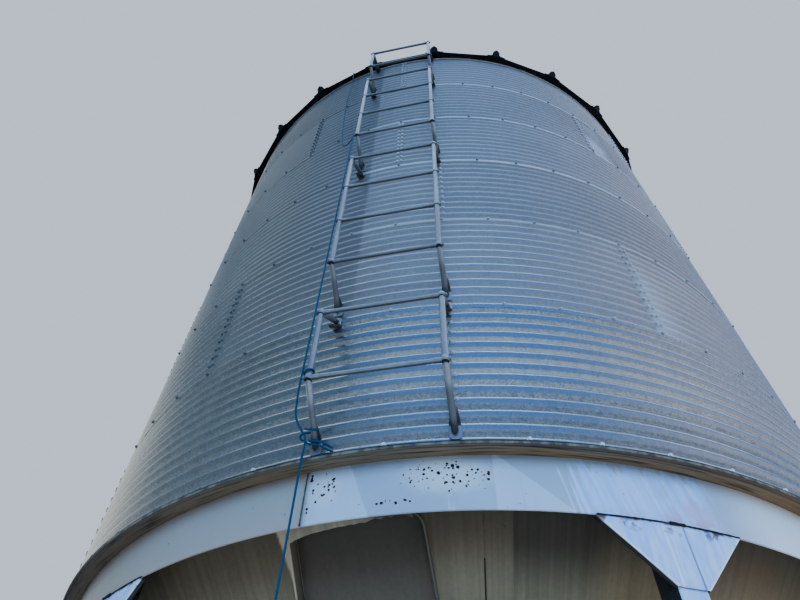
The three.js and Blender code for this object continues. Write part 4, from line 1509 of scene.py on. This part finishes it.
# %% Brushed paint for the legs
def leg_paint():
    """Brushed white paint with rust under the band and dirt near the ground."""
    brushed = Finish("leg_paint")
    z = brushed.axis("Z")
    below = BAND_LOW - z
    brush = brushed.noise(1.0, detail=4, vector=brushed.stretched(45, 45, 9))
    fine = brushed.noise(1.0, detail=3, vector=brushed.stretched(220, 220, 30))
    uneven = brushed.noise(26, detail=5)

    leg_azimuth = ((brushed.azimuth() + LADDER_AZ + 30) / 60).fraction() * 60 - 30
    across = leg_azimuth * (math.radians(1) * BAND_R)
    half_width = GUSSET_TOP / 2 - below * GUSSET_SLANT
    on_gusset = (z + 0.002).over(BAND_LOW - GUSSET_HEIGHT, BAND_LOW - GUSSET_HEIGHT + 0.002)
    # Painted highlight on the gusset's slanting edges and first fold, and painted shade on its second
    # fold.
    edge = (across.size() - half_width).over(-0.009, -0.005)
    first_fold_highlight = (across + GUSSET_FOLD * 1.08).size().under(0.0025, 0.005)
    second_fold_shade = (across - GUSSET_FOLD * 1.08).size().under(0.002, 0.005)
    seam = below.under(0.002, 0.014) * uneven.over(0.42, 0.60)
    corner = below.under(0.01, 0.06) * uneven.over(0.58, 0.66)
    rust = (seam + corner * 0.8).clamp()
    outward = brushed.node("ShaderNodeVectorMath", {"operation": "NORMALIZE"}, brushed.stretched(1, 1, 0))
    facing = brushed.vector("DOT_PRODUCT", brushed.normal(), outward)
    # Painted shade: faces that look sideways or inwards, high on the leg, are near black.
    side_shade = facing.under(0.35, 0.60) * (z + uneven * 0.2).over(1.35, 1.95)
    side_shade = side_shade * brushed.run().under(BAND_R - 0.008, BAND_R - 0.004)
    splash = (z + uneven * 0.25).under(0.12, 0.55)
    colour = brushed.coats(
        # Painted light: the strong blue stands for blue sky light on white paint.
        brushed.mix(brush.over(0.35, 0.65), (0.52, 0.68, 1.0), (0.72, 0.84, 1.0)),
        ((fine - 0.3) * 0.4, (0.76, 0.78, 0.84)),
        (((edge + first_fold_highlight) * on_gusset).clamp(), (1.0, 1.0, 1.0)),
        (second_fold_shade * on_gusset * 0.8, (0.22, 0.32, 0.48)),
        (rust * 0.85, (0.10, 0.045, 0.022)),
        (side_shade * 0.96, (0.014, 0.014, 0.011)),
        (splash * 0.55, (0.26, 0.22, 0.17)),
    )
    relief = brush * 0.6 + fine * 0.4
    return brushed.surface(colour, fine * 0.2 + 0.36 + rust * 0.3, height=relief, bump=0.0009)


leg_white = leg_paint()
for index, post in enumerate(legs):
    show(post, leg_white, [f"leg_{index + 1}"])
print("legs painted")

# %% [markdown]
# Welds are rusty brown, and greyer up the band's joints, where paint still clings to them. The ring
# above them was only primed: its lip has weathered grey, and under the flange it is tan with brown
# rust. Near the lip the underside is darker, with a thin darker line, as painted shade in the lip's
# inner corner, and above the band's top it is near black as painted shade in the gap under the wall.

# %% Rusty steel and the ring
def weld_steel():
    """Rust between two tones, with a coarse grain."""
    rust = Finish("weld_rust")
    cloud = rust.noise(7, detail=6)
    grain = rust.noise(120, detail=3)
    on_band = rust.axis("Z").over(BAND_LOW + 0.006, BAND_LOW + 0.014)
    tone = (cloud * 0.7 + grain * 0.45).over(0.35, 0.8)
    colour = rust.coats(
        rust.mix(tone, (0.022, 0.017, 0.015), (0.075, 0.044, 0.030)),
        (on_band * (1 - cloud * 0.7), (0.20, 0.18, 0.16)),
    )
    return rust.surface(colour, grain * 0.25 + 0.63, 0.15, height=grain, bump=0.0006)


def ring_steel():
    """Primed steel: grey on the lip, tan and brown under the flange, with painted shade by the lip and
    under the wall.
    """
    steel = Finish("ring_steel")
    angle = steel.azimuth()
    run = steel.run()
    z = steel.axis("Z")
    cloud = steel.noise(3.5, detail=6)
    grain = steel.noise(90, detail=3)
    streak = steel.noise(1.0, detail=4, vector=steel.stretched(30, 30, 4))
    blotch = steel.noise(1.0, detail=5, vector=steel.xyz(run * 110, angle * 0.16, z * 60))
    # Painted shade: the underside is darker near the lip, with a thin darker line at its inner edge.
    lip_corner_shade = run.over(FLANGE_R - 0.030, FLANGE_R - 0.026)
    lip_shade_line = lip_corner_shade * run.under(FLANGE_R - 0.026, FLANGE_R - 0.020)
    rusting = (angle.over(14, 34) - angle.over(80, 110)) * cloud.over(0.40, 0.60)
    edge = run.over(FLANGE_R - 0.0012, FLANGE_R - 0.0004)
    foot = z.under(LIP_LOW + 0.001, LIP_LOW + 0.004)
    # Painted shade: near black above the band's top, where the wall sits on the ring.
    wall_gap_shade = (z + blotch * 0.008).over(BAND_TOP + 0.004, BAND_TOP + 0.006)
    colour = steel.coats(
        steel.mix(blotch.over(0.42, 0.66), (0.375, 0.255, 0.130), (0.180, 0.120, 0.064)),
        (lip_corner_shade * (angle.over(5, 20) * 0.25 + 0.60), (0.145, 0.102, 0.060)),
        (lip_shade_line * 0.8, (0.022, 0.016, 0.012)),
        (grain * 0.3, (0.30, 0.27, 0.22)),
        (rusting * 0.5, (0.300, 0.150, 0.070)),
        (angle.under(0, 16) * 0.55, (0.270, 0.225, 0.165)),
        (angle.under(-40, -12) * 0.6, (0.120, 0.108, 0.095)),
        (edge, steel.mix(streak.over(0.3, 0.7), (0.120, 0.105, 0.085), (0.330, 0.290, 0.220))),
        (edge * foot * 0.8, (0.055, 0.030, 0.020)),
        (wall_gap_shade * 0.9, (0.020, 0.016, 0.013)),
    )
    return steel.surface(colour, grain * 0.2 + 0.62, 0.1, height=grain, bump=0.0004)


weld_rust = weld_steel()
ring_material = ring_steel()
show(base_ring, ring_material, ["base_ring"])
show(outlet_gate, ring_material, ["outlet_gate"])
show(cone_welds, weld_rust)
show(gusset_welds, weld_rust)
print("ring, gate and welds finished")

# %% [markdown]
# The cone hangs in the shade of the band. Its paint is a dull olive grey, streaked down the slope
# by dust and rain, with scattered stone chips, painted shade under the band and a pale strip beside
# the access opening. The frame of the opening has a lighter copy of the paint as painted light, with
# rust freckles along its bent edge, and painted shade inside and towards its right. The cover behind
# it is a darker copy as painted shade, nearly black.

# %% Dull paint for the cone
UNDER_BAND_Z = BAND_LOW + 0.080


def cone_paint(name, pale, dark, freckles, band_shade_share=1.0, streaky=0.65, on_frame=False):
    """Olive-grey paint with streaks down the slope, small rust spots and painted shade under the band."""
    dull = Finish(name)
    angle = dull.azimuth()
    z = dull.axis("Z")
    off_middle = dull.vector("SUBTRACT", dull.place, ON_HATCH.translation, out=0)
    across, up_slope, out = [
        dull.vector("DOT_PRODUCT", off_middle, ON_HATCH.col[index].to_3d()) for index in range(3)
    ]
    streak = dull.noise(1.0, detail=5, vector=dull.xyz(angle * 2.2, z * 0.9, 0.0))
    cloud = dull.noise(1.6, detail=5)
    fine = dull.noise(60, detail=3)
    shade = streak * streaky + cloud * (1 - streaky)
    marks = (dull.cells(14) + fine * 0.3).under(0.20, 0.24) * cloud.over(1 - freckles, 1.05 - freckles)
    brown = (angle.over(26, 44) - angle.over(90, 110)) * cloud.over(0.30, 0.60)
    from_joint = angle.between((11.9, 12.1), (19, 24))
    # Painted shade: darker under the band, more so beside a joint.
    under_band_shade = (UNDER_BAND_Z - z - from_joint * 0.05).under(0.0, 0.18) * (cloud * 0.4 + 0.60)
    under_band_shade = under_band_shade * (angle.over(-10, 5) * 0.10 + 0.55 + from_joint * 0.20)
    # A pale strip along the opening's left side, wider towards the top.
    pale_strip_from = up_slope * -0.22 - 0.243 + (fine - 0.5) * 0.012
    pale_strip = (across - pale_strip_from).over(-0.006, 0.010) * across.under(-0.247, -0.244)
    pale_strip = pale_strip * up_slope.between((0.02, 0.07), (0.5, 0.52))
    colour = dull.coats(
        dull.tint(dull.mix(shade.over(0.32, 0.68), dark, pale), fine * 0.3 + 0.85),
        (marks * 0.8, (0.075, 0.030, 0.015)),
        (brown * 0.75, (0.400, 0.265, 0.150)),
        (under_band_shade * band_shade_share, (0.020, 0.022, 0.026)),
        (pale_strip * 0.95, (0.720, 0.590, 0.400)),
    )
    if on_frame:
        # Painted shade: darker inside the opening and towards the frame's right side.
        inside = (out.under(0.001, 0.005) + across.over(-0.05, 0.20)).clamp()
        burnt = up_slope.over(0.285, 0.300) * cloud.over(0.50, 0.56)
        colour = dull.coats(
            colour, (inside * 0.85, (0.130, 0.120, 0.095)), (burnt * 0.8, (0.090, 0.050, 0.030))
        )
    relief = fine * 0.6 + cloud * 0.4
    return dull.surface(colour, fine * 0.2 + 0.62, height=relief, bump=0.0007, specular=0.3)


cone_dull = cone_paint("cone_paint", (0.355, 0.280, 0.170), (0.275, 0.216, 0.130), 0.40)
# A lighter copy of the cone's paint, as painted light on the frame.
lit_frame_paint = cone_paint(
    "frame_paint_lit", (0.560, 0.480, 0.340), (0.420, 0.355, 0.245), 0.58, band_shade_share=0.1, on_frame=True
)
# A darker copy of the cone's paint, as painted shade on the recessed cover.
shaded_cover_paint = cone_paint(
    "cover_paint_shaded", (0.235, 0.188, 0.128), (0.172, 0.141, 0.099), 0.35, streaky=0.15
)
for index, piece in enumerate(cone):
    show(piece, cone_dull, [f"cone_sheet_{index + 1}"])
show(hatch_frame, lit_frame_paint, ["hatch_frame"])
show(hatch_cover, shaded_cover_paint, ["hatch_cover"])
show(neck, cone_dull, ["outlet_neck"])
print("cone painted")

# %% [markdown]
# The ladder comes in four sections of galvanised tube. Each rail is bent in towards the wall just
# beyond its first and last rung, and its ends are pressed flat and bolted to a row of wall bolts,
# so two feet stand over each other at every joint. The rails are tubes along a line with round
# corners. A section is listed as the rings it reaches from and to, its rungs, and how far its low
# and high feet stand above those rings' seams.

# %% Bend the rails
RUNG_D = 0.019
BEND_R = 0.065
FOOT_WIDTH = 0.046
FOOT_HEIGHT = 0.050
FOOT_PLATE = 0.006
LADDER_SECTIONS = (
    (0, 1, 2, 0.022, -0.012),
    (1, 3, 4, 0.050, -0.012),
    (3, 5, 4, 0.050, -0.012),
    (5, 6, 2, 0.050, -0.042),
)
foot_turn = math.asin(RAIL_SPACING / 2 / CREST_R)
foot_y = -(CREST_R + LAP + RAIL_D * 0.30) * math.cos(foot_turn)


def rail(side, low_z, high_z, first_z, last_z):
    """One rail of a section, from foot to foot and out past its first and last rung."""
    across = side * RAIL_SPACING / 2
    corners = [
        Vector((across, foot_y, low_z + 0.006)),
        Vector((across, -RAIL_RUN, first_z - 0.0024)),
        Vector((across, -RAIL_RUN, last_z + 0.0024)),
        Vector((across, foot_y, high_z - 0.006)),
    ]
    return bar("rail", rounded(corners, BEND_R), RAIL_D / 2, 4)


print(f"rails {RAIL_RUN - CREST_R:.3f} m off the wall")

# %% [markdown]
# A foot is the rail's own end, pressed flat: a plate with a rounded tip that widens from the tube.
# It starts as a flat box on the wall. The face on the rail's side is extruded up the rail and
# scaled to the tube's square, and the far corners are rounded with a bevel.

# %% Press a foot flat
# Each step of the extrusion: out from the wall, along the rail, and its scale across and through
FOOT_STEPS = ((0.012, 0.020, 0.86, 1.6), (0.016, 0.018, 0.78, 1.7), (0.014, 0.014, 0.86, 1.35))


def pressed_foot(up):
    """A foot on the wall at azimuth 0 and height 0; up is 1 where the rail leaves upwards."""
    seat_y = -CREST_R - LAP - FOOT_PLATE / 2
    foot = block("foot", (FOOT_WIDTH, FOOT_PLATE, FOOT_HEIGHT), (0, seat_y, 0))

    def far_corner(edge):
        through = abs(edge.verts[0].co.y - edge.verts[1].co.y) > FOOT_PLATE / 2
        return through and all(vertex.co.z * up < -0.01 for vertex in edge.verts)

    edit(foot)
    pick(foot, "EDGE", far_corner)
    bpy.ops.mesh.bevel(offset=0.016, segments=4, affect="EDGES")
    pick(foot, "FACE", lambda face: face.normal.z * up > 0.9)
    middle = Vector((0, seat_y, up * FOOT_HEIGHT / 2))
    for out, along, narrow, thick in FOOT_STEPS:
        move = Vector((0, -out, up * along))
        middle = middle + move
        extrude(move)
        bpy.ops.transform.resize(value=(narrow, thick, 1), center_override=middle)
    close()
    head = copy_of(bolt, turned_to(0, CREST_R + LAP + FOOT_PLATE))
    return join("foot", [eased(foot, 0.0018), head])


feet = {up: pressed_foot(up) for up in (1, -1)}
print(f"a foot has {len(feet[1].data.polygons)} faces")

# %% [markdown]
# A rung is a thinner tube. Its ends are flattened round the rails like a collar, and a bolt goes
# through both, with its head on the outside. One rung is made with its collars and bolts, and
# copied twelve times.

# %% Make a rung and build the sections
def rung_with_collars():
    """A rung at height 0, in front of the wall at azimuth 0."""
    half = RAIL_SPACING / 2
    pieces = [bar("rung", [Vector((x, -RAIL_RUN, 0)) for x in (-half, 0, half)], RUNG_D / 2, 3)]
    for side in (-1, 1):
        collar = rod("collar", 20, RAIL_D / 2 + 0.0022, 0.024, (side * half, -RAIL_RUN, 0))
        sleeve_x = side * (half - RAIL_D / 2 - 0.012)
        sleeve = rod("sleeve", 16, RUNG_D / 2 + 0.0012, 0.030, (sleeve_x, -RAIL_RUN, 0), (0, 90, 0))
        edit(sleeve)
        pick(sleeve, "FACE", lambda face: face.normal.x * side < -0.9)
        bpy.ops.mesh.inset(thickness=0.002, depth=0.003)
        close()
        outside = Matrix.Translation((side * (half + RAIL_D / 2 + 0.0015), -RAIL_RUN, 0))
        pieces += [eased(collar, 0.0018), sleeve, copy_of(bolt, outside @ tipped(90 * side, "Z"))]
    return join("rung", pieces)


rung = rung_with_collars()
ladder = []
for index, (low_ring, high_ring, rungs, low_foot, high_foot) in enumerate(LADDER_SECTIONS):
    low_z = WALL_BASE + RING * low_ring + low_foot
    high_z = WALL_BASE + RING * high_ring + high_foot
    rung_heights = [WALL_BASE + RING * low_ring + FIRST_RUNG + step * RUNG_PITCH for step in range(rungs)]
    pieces = []
    for side in (-1, 1):
        pieces.append(rail(side, low_z, high_z, rung_heights[0], rung_heights[-1]))
        for z, up in ((low_z, 1), (high_z, -1)):
            turn = Matrix.Rotation(side * foot_turn, 4, "Z") @ Matrix.Translation((0, 0, z))
            pieces.append(copy_of(feet[up], turn))
    pieces += [copy_of(rung, Matrix.Translation((0, 0, z))) for z in rung_heights]
    for piece in pieces:
        piece.matrix_world = TO_LADDER @ piece.matrix_world
    ladder.append(smooth(join(f"ladder_part_{index + 1}", pieces)))
discard(rung, feet[1], feet[-1])
print(f"{len(ladder)} ladder sections")

# %% [markdown]
# The ladder's tubes are dull zinc without crystals. Painted shade makes them darker below, round the
# collars and where they bend in to the wall, and nearly black in the narrow pocket beside it.

# %% Dull zinc for the ladder
def satin():
    """Dull zinc, with painted shade below, round the collars, at the bends and beside the wall."""
    zinc = Finish("ladder_zinc")
    cloud = zinc.noise(4, detail=5)
    grain = zinc.noise(60, detail=3)
    off_wall = zinc.run() - CREST_R
    off_rung = (zinc.axis("Z") - WALL_BASE - FIRST_RUNG).off_rows(RUNG_PITCH)
    # Painted shade in the pocket by the wall, at the bends and round the collars.
    pocket_shade = off_wall.between((0.010, 0.014), (0.026, 0.060))
    bend_shade = off_wall.between((0.010, 0.014), (0.11, 0.155))
    collar_shade = off_rung.between((0.0112, 0.0118), (0.0140, 0.0150)) * off_wall.over(0.12, 0.14)
    # Painted shade: faces that hang downwards are darker and less metallic.
    below = zinc.upward().under(-0.97, -0.55) * 0.86
    tone = (cloud * 0.7 + grain * 0.3).over(0.3, 0.7)
    colour = zinc.coats(
        zinc.mix(tone, (0.40, 0.42, 0.44), (0.56, 0.58, 0.60)),
        (below, (0.070, 0.066, 0.058)),
        (bend_shade * 0.7, (0.115, 0.105, 0.090)),
        (pocket_shade * 0.75 + collar_shade * 0.8, (0.026, 0.024, 0.022)),
    )
    metallic = (0.80 - below * 0.6 - pocket_shade * 0.2 - bend_shade * 0.35).clamp()
    return zinc.surface(colour, grain * 0.14 + 0.34 + pocket_shade * 0.3, metallic, height=grain, bump=0.0001)


tube_zinc = satin()
for index, piece in enumerate(ladder):
    show(piece, tube_zinc, [f"ladder_section_{index + 1}"])
print("ladder finished")

# %% [markdown]
# The roof is a cone of 24 flat panels. Where two panels meet, their edges are rolled up into a
# high rib, which stiffens the roof, and the sheet sweeps up gently to it. A panel and a rib are
# each modelled once and copied round. The rib is a section, drawn as a chain of vertices, filled
# and extruded up the slope. A pressed knob closes it at the eave.

# %% Roll one roof panel and one rib
ROOF_TOP_R = 0.330
RIB_CREST = 0.073
RIB_AZ = 27.0
KNOB_R = 0.033
KNOB_LENGTH = 0.052
# One side of the rib's section, from its foot to its crest: across, and up from the panels
RIB_SIDE = (
    (0.085, 0.002), (0.060, 0.004), (0.038, 0.010), (0.024, 0.022), (0.017, 0.040),
    (0.0135, 0.056), (0.0115, 0.065), (0.006, 0.0712),
)
rib_fall = math.tan(ROOF_SLOPE) * math.cos(HALF_PANEL)
rib_slope = math.atan(rib_fall)
side_fall = math.sin(ROOF_SLOPE) * math.tan(HALF_PANEL)


def roof_panel():
    """A flat panel facing -Y, from the eave to the fill collar."""
    top_run = ROOF_TOP_R * math.cos(HALF_PANEL)
    climb = (EAVE_RUN - top_run) * math.tan(ROOF_SLOPE)
    half = ROOF_R * math.sin(HALF_PANEL)
    eave = [Vector((half * share, -EAVE_RUN, ROOF_EDGE_Z)) for share in (-1, -0.6, -0.2, 0.2, 0.6, 1)]
    panel = chain("panel", eave)
    up_slope = Vector((0, EAVE_RUN - top_run, climb))
    bpy.ops.mesh.extrude_edges_move(TRANSFORM_OT_translate={"value": up_slope})
    middle = Vector((0, -top_run, ROOF_EDGE_Z + climb))
    bpy.ops.transform.resize(value=(ROOF_TOP_R / ROOF_R, 1, 1), center_override=middle)
    select_everything()
    bpy.ops.mesh.subdivide(number_cuts=3)
    face_outwards(panel)
    return modify(panel, "SOLIDIFY", thickness=ROOF_SHEET, offset=1)


def roof_rib():
    """A rib facing -Y: swept-up sides, a round crest and a knob at the eave."""
    half = [(x, up - x * side_fall) for x, up in RIB_SIDE]
    outline = [*half, (0, RIB_CREST), *((-x, up) for x, up in reversed(half))]
    down = Vector((0, -math.cos(rib_slope), -math.sin(rib_slope)))
    out = Vector((0, -math.sin(rib_slope), math.cos(rib_slope)))
    eave = Vector((0, -ROOF_R, ROOF_EDGE_Z))
    rib = chain("rib", [eave + Vector((x, 0, 0)) + out * up for x, up in outline])
    bpy.ops.mesh.edge_face_add()
    extrude(-down * ((ROOF_R - ROOF_TOP_R) / math.cos(rib_slope)))
    select_everything()
    bpy.ops.mesh.normals_make_consistent(inside=False)
    close()
    knob = eased(rod("knob", 14, KNOB_R, KNOB_LENGTH), 0.008)
    middle = eave + out * (RIB_CREST - KNOB_R) - down * (KNOB_LENGTH / 2 + 0.002)
    knob.matrix_world = Matrix.Translation(middle) @ down.to_track_quat("Z", "X").to_matrix().to_4x4()
    return join("rib", [rib, settle(knob)])


panel = roof_panel()
rib = roof_rib()
print(f"panel {len(panel.data.polygons)} faces, rib {len(rib.data.polygons)} faces")

# %% [markdown]
# Four panels and four ribs make a sector of the roof, with a bolt through the sheets beside each
# rib every quarter of a metre.

# %% Build the roof
PANELS_A_SECTOR = 4
RIB_BOLTS = 8
RIB_BOLT_OUT = 0.046
RIB_BOLT_FIRST = 0.10
RIB_BOLT_STEP = 0.235
RIB_BOLT_LIFT = 0.0055
roof_spins = random.Random(21)


def rib_bolts(azimuth):
    """Copies of a bolt down both sides of the rib at an azimuth."""
    stand = Matrix.Rotation(rib_slope - math.radians(90), 4, "X")
    copies = []
    for side in (-1, 1):
        for step in range(RIB_BOLTS):
            back = RIB_BOLT_FIRST + step * RIB_BOLT_STEP
            z = ROOF_EDGE_Z + back * rib_fall + RIB_BOLT_LIFT
            seat = Matrix.Translation((side * RIB_BOLT_OUT, back - ROOF_R, z))
            spun = Matrix.Rotation(roof_spins.random() * math.tau, 4, "Y")
            copies.append(copy_of(bolt, turned_to(azimuth) @ seat @ stand @ spun))
    return copies


roof = []
for sector in range(6):
    pieces = []
    for step in range(PANELS_A_SECTOR):
        azimuth = RIB_AZ + (sector * PANELS_A_SECTOR + step) * PANEL_DEG
        pieces.append(copy_of(panel, turned_to(azimuth + PANEL_DEG / 2)))
        pieces.append(copy_of(rib, turned_to(azimuth)))
        pieces += rib_bolts(azimuth)
    roof.append(smooth(join(f"roof_panels_{sector + 1}", pieces), 35))
discard(panel, rib)
print(f"{len(roof)} roof sectors")

# %% [markdown]
# At the peak, the panels end on a turned collar, and a weather lid covers its mouth. The lid has a
# rolled rim, a strap hinge on one side and an eye for the pull rope on the other.

# %% Turn the fill collar and the lid
COLLAR_R = 0.305
COLLAR_PLATE = 0.004
COLLAR_OUT = COLLAR_R + COLLAR_PLATE
COLLAR_SKIRT_R = 0.420
LID_RIM = 0.045
LID_PLATE = 0.003
LID_TOP_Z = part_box("roof_lid")[1].z
LID_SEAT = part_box("roof_lid")[0].z + LID_RIM
LID_LOW = LID_SEAT - LID_RIM
LID_FALL = (LID_TOP_Z - LID_SEAT) / LID_R
HINGE_AZ = LADDER_AZ + 165
EYE_R = 0.011


def under_roof(run):
    """A height just under the panels along a rib's line."""
    return ROOF_EDGE_Z + (ROOF_R - run) * rib_fall - 0.0006


collar_section = [
    (COLLAR_R, under_roof(COLLAR_R) - COLLAR_PLATE),
    (COLLAR_SKIRT_R, under_roof(COLLAR_SKIRT_R) - COLLAR_PLATE),
    (COLLAR_SKIRT_R, under_roof(COLLAR_SKIRT_R)),
    (COLLAR_OUT, under_roof(COLLAR_OUT)),
    (COLLAR_OUT, COLLAR_TOP_Z),
    (COLLAR_R, COLLAR_TOP_Z),
]
collar = smooth(eased(turned("collar", collar_section, 96), 0.0012))


def on_lid(run, lift=0.0):
    """A point of the lid's section, on its slope."""
    return run, LID_SEAT + LID_PLATE + (LID_R - run) * LID_FALL * 0.95 + lift


def weather_lid():
    """The lid with its rolled rim, stiffening steps, hinge strap and rope eye."""
    rim = LID_R - LID_PLATE
    outer = [
        (LID_R - 0.002, LID_LOW + 0.004),
        (LID_R, LID_LOW + 0.008),
        (LID_R, LID_SEAT - 0.004),
        (LID_R - 0.006, LID_SEAT + 0.003),
        on_lid(0.250),
        on_lid(0.235, 0.004),
        on_lid(0.120),
        (0.002, LID_TOP_Z),
    ]
    inner = [(max(run - LID_PLATE, 0.001), z - LID_PLATE) for run, z in reversed(outer[3:])]
    lid = turned("lid", [*outer, *inner, (rim, LID_SEAT - 0.006), (rim, LID_LOW)], 96)
    bead = bar("bead", [around(rim + 0.0005, step * 3.75, LID_LOW + 0.003) for step in range(97)], 0.003)
    strap = block("strap", (0.050, 0.150, 0.004))
    strap.matrix_world = (
        turned_to(HINGE_AZ, 0.262, LID_SEAT + 0.024) @ Matrix.Rotation(math.atan(LID_FALL), 4, "X")
    )
    eased(settle(strap), 0.0012)
    at_hinge = turned_to(HINGE_AZ, LID_R + 0.006, LID_SEAT - 0.004)
    hinge = bar("hinge", [at_hinge @ Vector((x, 0, 0)) for x in (-0.045, 0, 0.045)], 0.008, 3)
    at_eye = turned_to(LADDER_AZ + ROPE_AZ, LID_R, COLLAR_TOP_Z - 0.010)
    across = at_eye.to_3x3() @ Vector((1, 0, 0))
    eye = bar("eye", coil(at_eye.translation, UP * EYE_R, across * EYE_R, 24), 0.0028)
    return smooth(join("lid", [lid, bead, strap, hinge, eye]))


lid = weather_lid()
print(f"lid {lid.dimensions.x:.3f} m across")

# %% [markdown]
# The roof has the same zinc as the wall, without its waves and marks. Past the eave and on every
# underside it is in deep shade, painted near black there.

# %% Galvanise the roof
ROOF_RIM = ROOF_R - 0.035


def roof_steel():
    """The roof's sheets, with painted shade, near black, past the eave and underneath."""
    zinc = Zinc("roof_steel")
    dust = zinc.settled
    # Painted shade: near black past the eave and on faces that hang downwards.
    eave_shade = (zinc.run().over(ROOF_RIM, ROOF_RIM + 0.008) + zinc.upward().under(-0.4, -0.1)).clamp()
    colour = zinc.coats(
        zinc.plain(zinc.tone, (0.27, 0.29, 0.31), (0.48, 0.50, 0.52)),
        (dust * 0.85, zinc.mix(zinc.speck, *SOIL)),
        (eave_shade, (0.010, 0.011, 0.013)),
    )
    metallic = (0.78 - dust * 0.50) * (1 - eave_shade)
    return zinc.surface(
        colour, zinc.rough(dust) + eave_shade * 0.3, metallic, height=zinc.facets, bump=0.00012
    )


roof_zinc = roof_steel()
for index, sector in enumerate(roof):
    show(sector, roof_zinc, [f"roof_sector_{index + 1}"])
show(collar, roof_zinc, ["fill_collar"])
show(lid, roof_zinc, ["roof_lid"])
discard(bolt)
print("roof finished")

# %% [markdown]
# The photograph looks up at the silo in plain daylight. Here it stands on a pale studio floor in
# soft light from three broad lamps: a warm white one overhead, a blue one in front that stands in
# for the open sky, and a weak warm one low on the right, like light thrown back by dry ground. The
# lamps don't show in the zinc. What it reflects is a smooth dome: a blue sky, paler high up and
# bright overhead, dim on the left and pale beyond that, warm low on the right with a bright streak
# above, over a darker ground.

# %% Lay the floor
FLOOR_HALF = 6.5
FLOOR_TOP = -0.0008
add_plane = bpy.ops.mesh.primitive_plane_add
floor = start("floor", add_plane, size=2 * FLOOR_HALF, location=(0, 0, FLOOR_TOP))
edit(floor, everything=True)
bpy.ops.mesh.subdivide(number_cuts=7)
close()
settle(floor)
plain = Finish("floor_plain")
speck = plain.noise(40, detail=4)
floor.data.materials.append(
    plain.surface(plain.mix(speck, (0.55, 0.55, 0.54), (0.60, 0.60, 0.59)), speck * 0.2 + 0.7)
)
floor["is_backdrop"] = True
print("floor laid")

# %% Set the lights
def soft_light(name, azimuth, run, z, size, power, colour):
    """A square area light round the silo that looks at the middle of the wall."""
    bpy.ops.object.light_add(type="AREA", location=around(run, LADDER_AZ + azimuth, z))
    light = bpy.context.object
    light.name = name
    light.data.size = size
    light.data.energy = power
    light.data.color = colour
    aim = Vector((0, 0, (WALL_BASE + EAVE_Z) / 2)) - light.location
    light.rotation_euler = aim.to_track_quat("-Z", "Y").to_euler()
    light.visible_glossy = False


soft_light("overhead", 10, 2.5, 17.0, 6, 1200, (1.0, 0.98, 0.95))
soft_light("front", 10, 15, 7, 9, 1330, (0.265, 0.575, 1.0))
soft_light("ground_bounce", 75, 7, 0.7, 5, 70, (1.0, 0.80, 0.55))
bpy.context.scene.view_settings.look = "AgX - Medium High Contrast"
print("lights set")

# %% Paint the dome
dome = Finish("studio", bpy.data.worlds, "Generated")
height = dome.axis("Z")


def towards(azimuth):
    """How far the dome's direction points to an azimuth: 1 straight at it, -1 away from it."""
    return dome.vector("DOT_PRODUCT", dome.place, around(1, LADDER_AZ + azimuth, 0))


ground = dome.mix(towards(60).over(-0.3, 0.6), (0.13, 0.13, 0.105), (0.42, 0.36, 0.28))
ground = dome.mix(height.over(-0.70, -0.30), (0.070, 0.065, 0.055), ground)
low_right = towards(110).over(0.20, 0.9) * height.under(0.30, 0.55)
streak = height.between((0.60, 0.70), (0.78, 0.88)) * towards(100).over(0.35, 0.8)
haze = (height + towards(-100) * 0.25).over(0.92, 0.98) * towards(-100).over(0.05, 0.3)
sky = dome.coats(
    dome.mix(height.over(0.72, 0.90), (0.13, 0.28, 0.63), (0.60, 0.65, 0.73)),
    (towards(-70).over(0.25, 0.85) * 0.85, (0.15, 0.19, 0.185)),
    (towards(-140).over(0.45, 0.9) * 0.9, (0.84, 0.88, 0.83)),
    (low_right * 0.6, (0.64, 0.60, 0.54)),
    (streak, (1.05, 1.10, 1.12)),
    (haze, (1.05, 1.06, 1.02)),
    (height.over(0.91, 0.985), (1.05, 1.70, 2.60)),
)
sky = dome.mix(height.over(-0.36, -0.20), ground, sky)
direct = dome.node("ShaderNodeLightPath", out="Is Camera Ray")
colour = dome.mix(direct, sky, (0.56, 0.63, 0.72))
background = dome.node("ShaderNodeBackground", None, colour, 1.0, out="Background")
output = dome.tree.nodes.new("ShaderNodeOutputWorld")
dome.tree.links.new(background.output, output.inputs[0])
bpy.context.scene.world = dome.material
print("dome painted")

# %% [markdown]
# The last cell measures the box round the finished model.

# %% Measure the finished model's box
low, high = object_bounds()
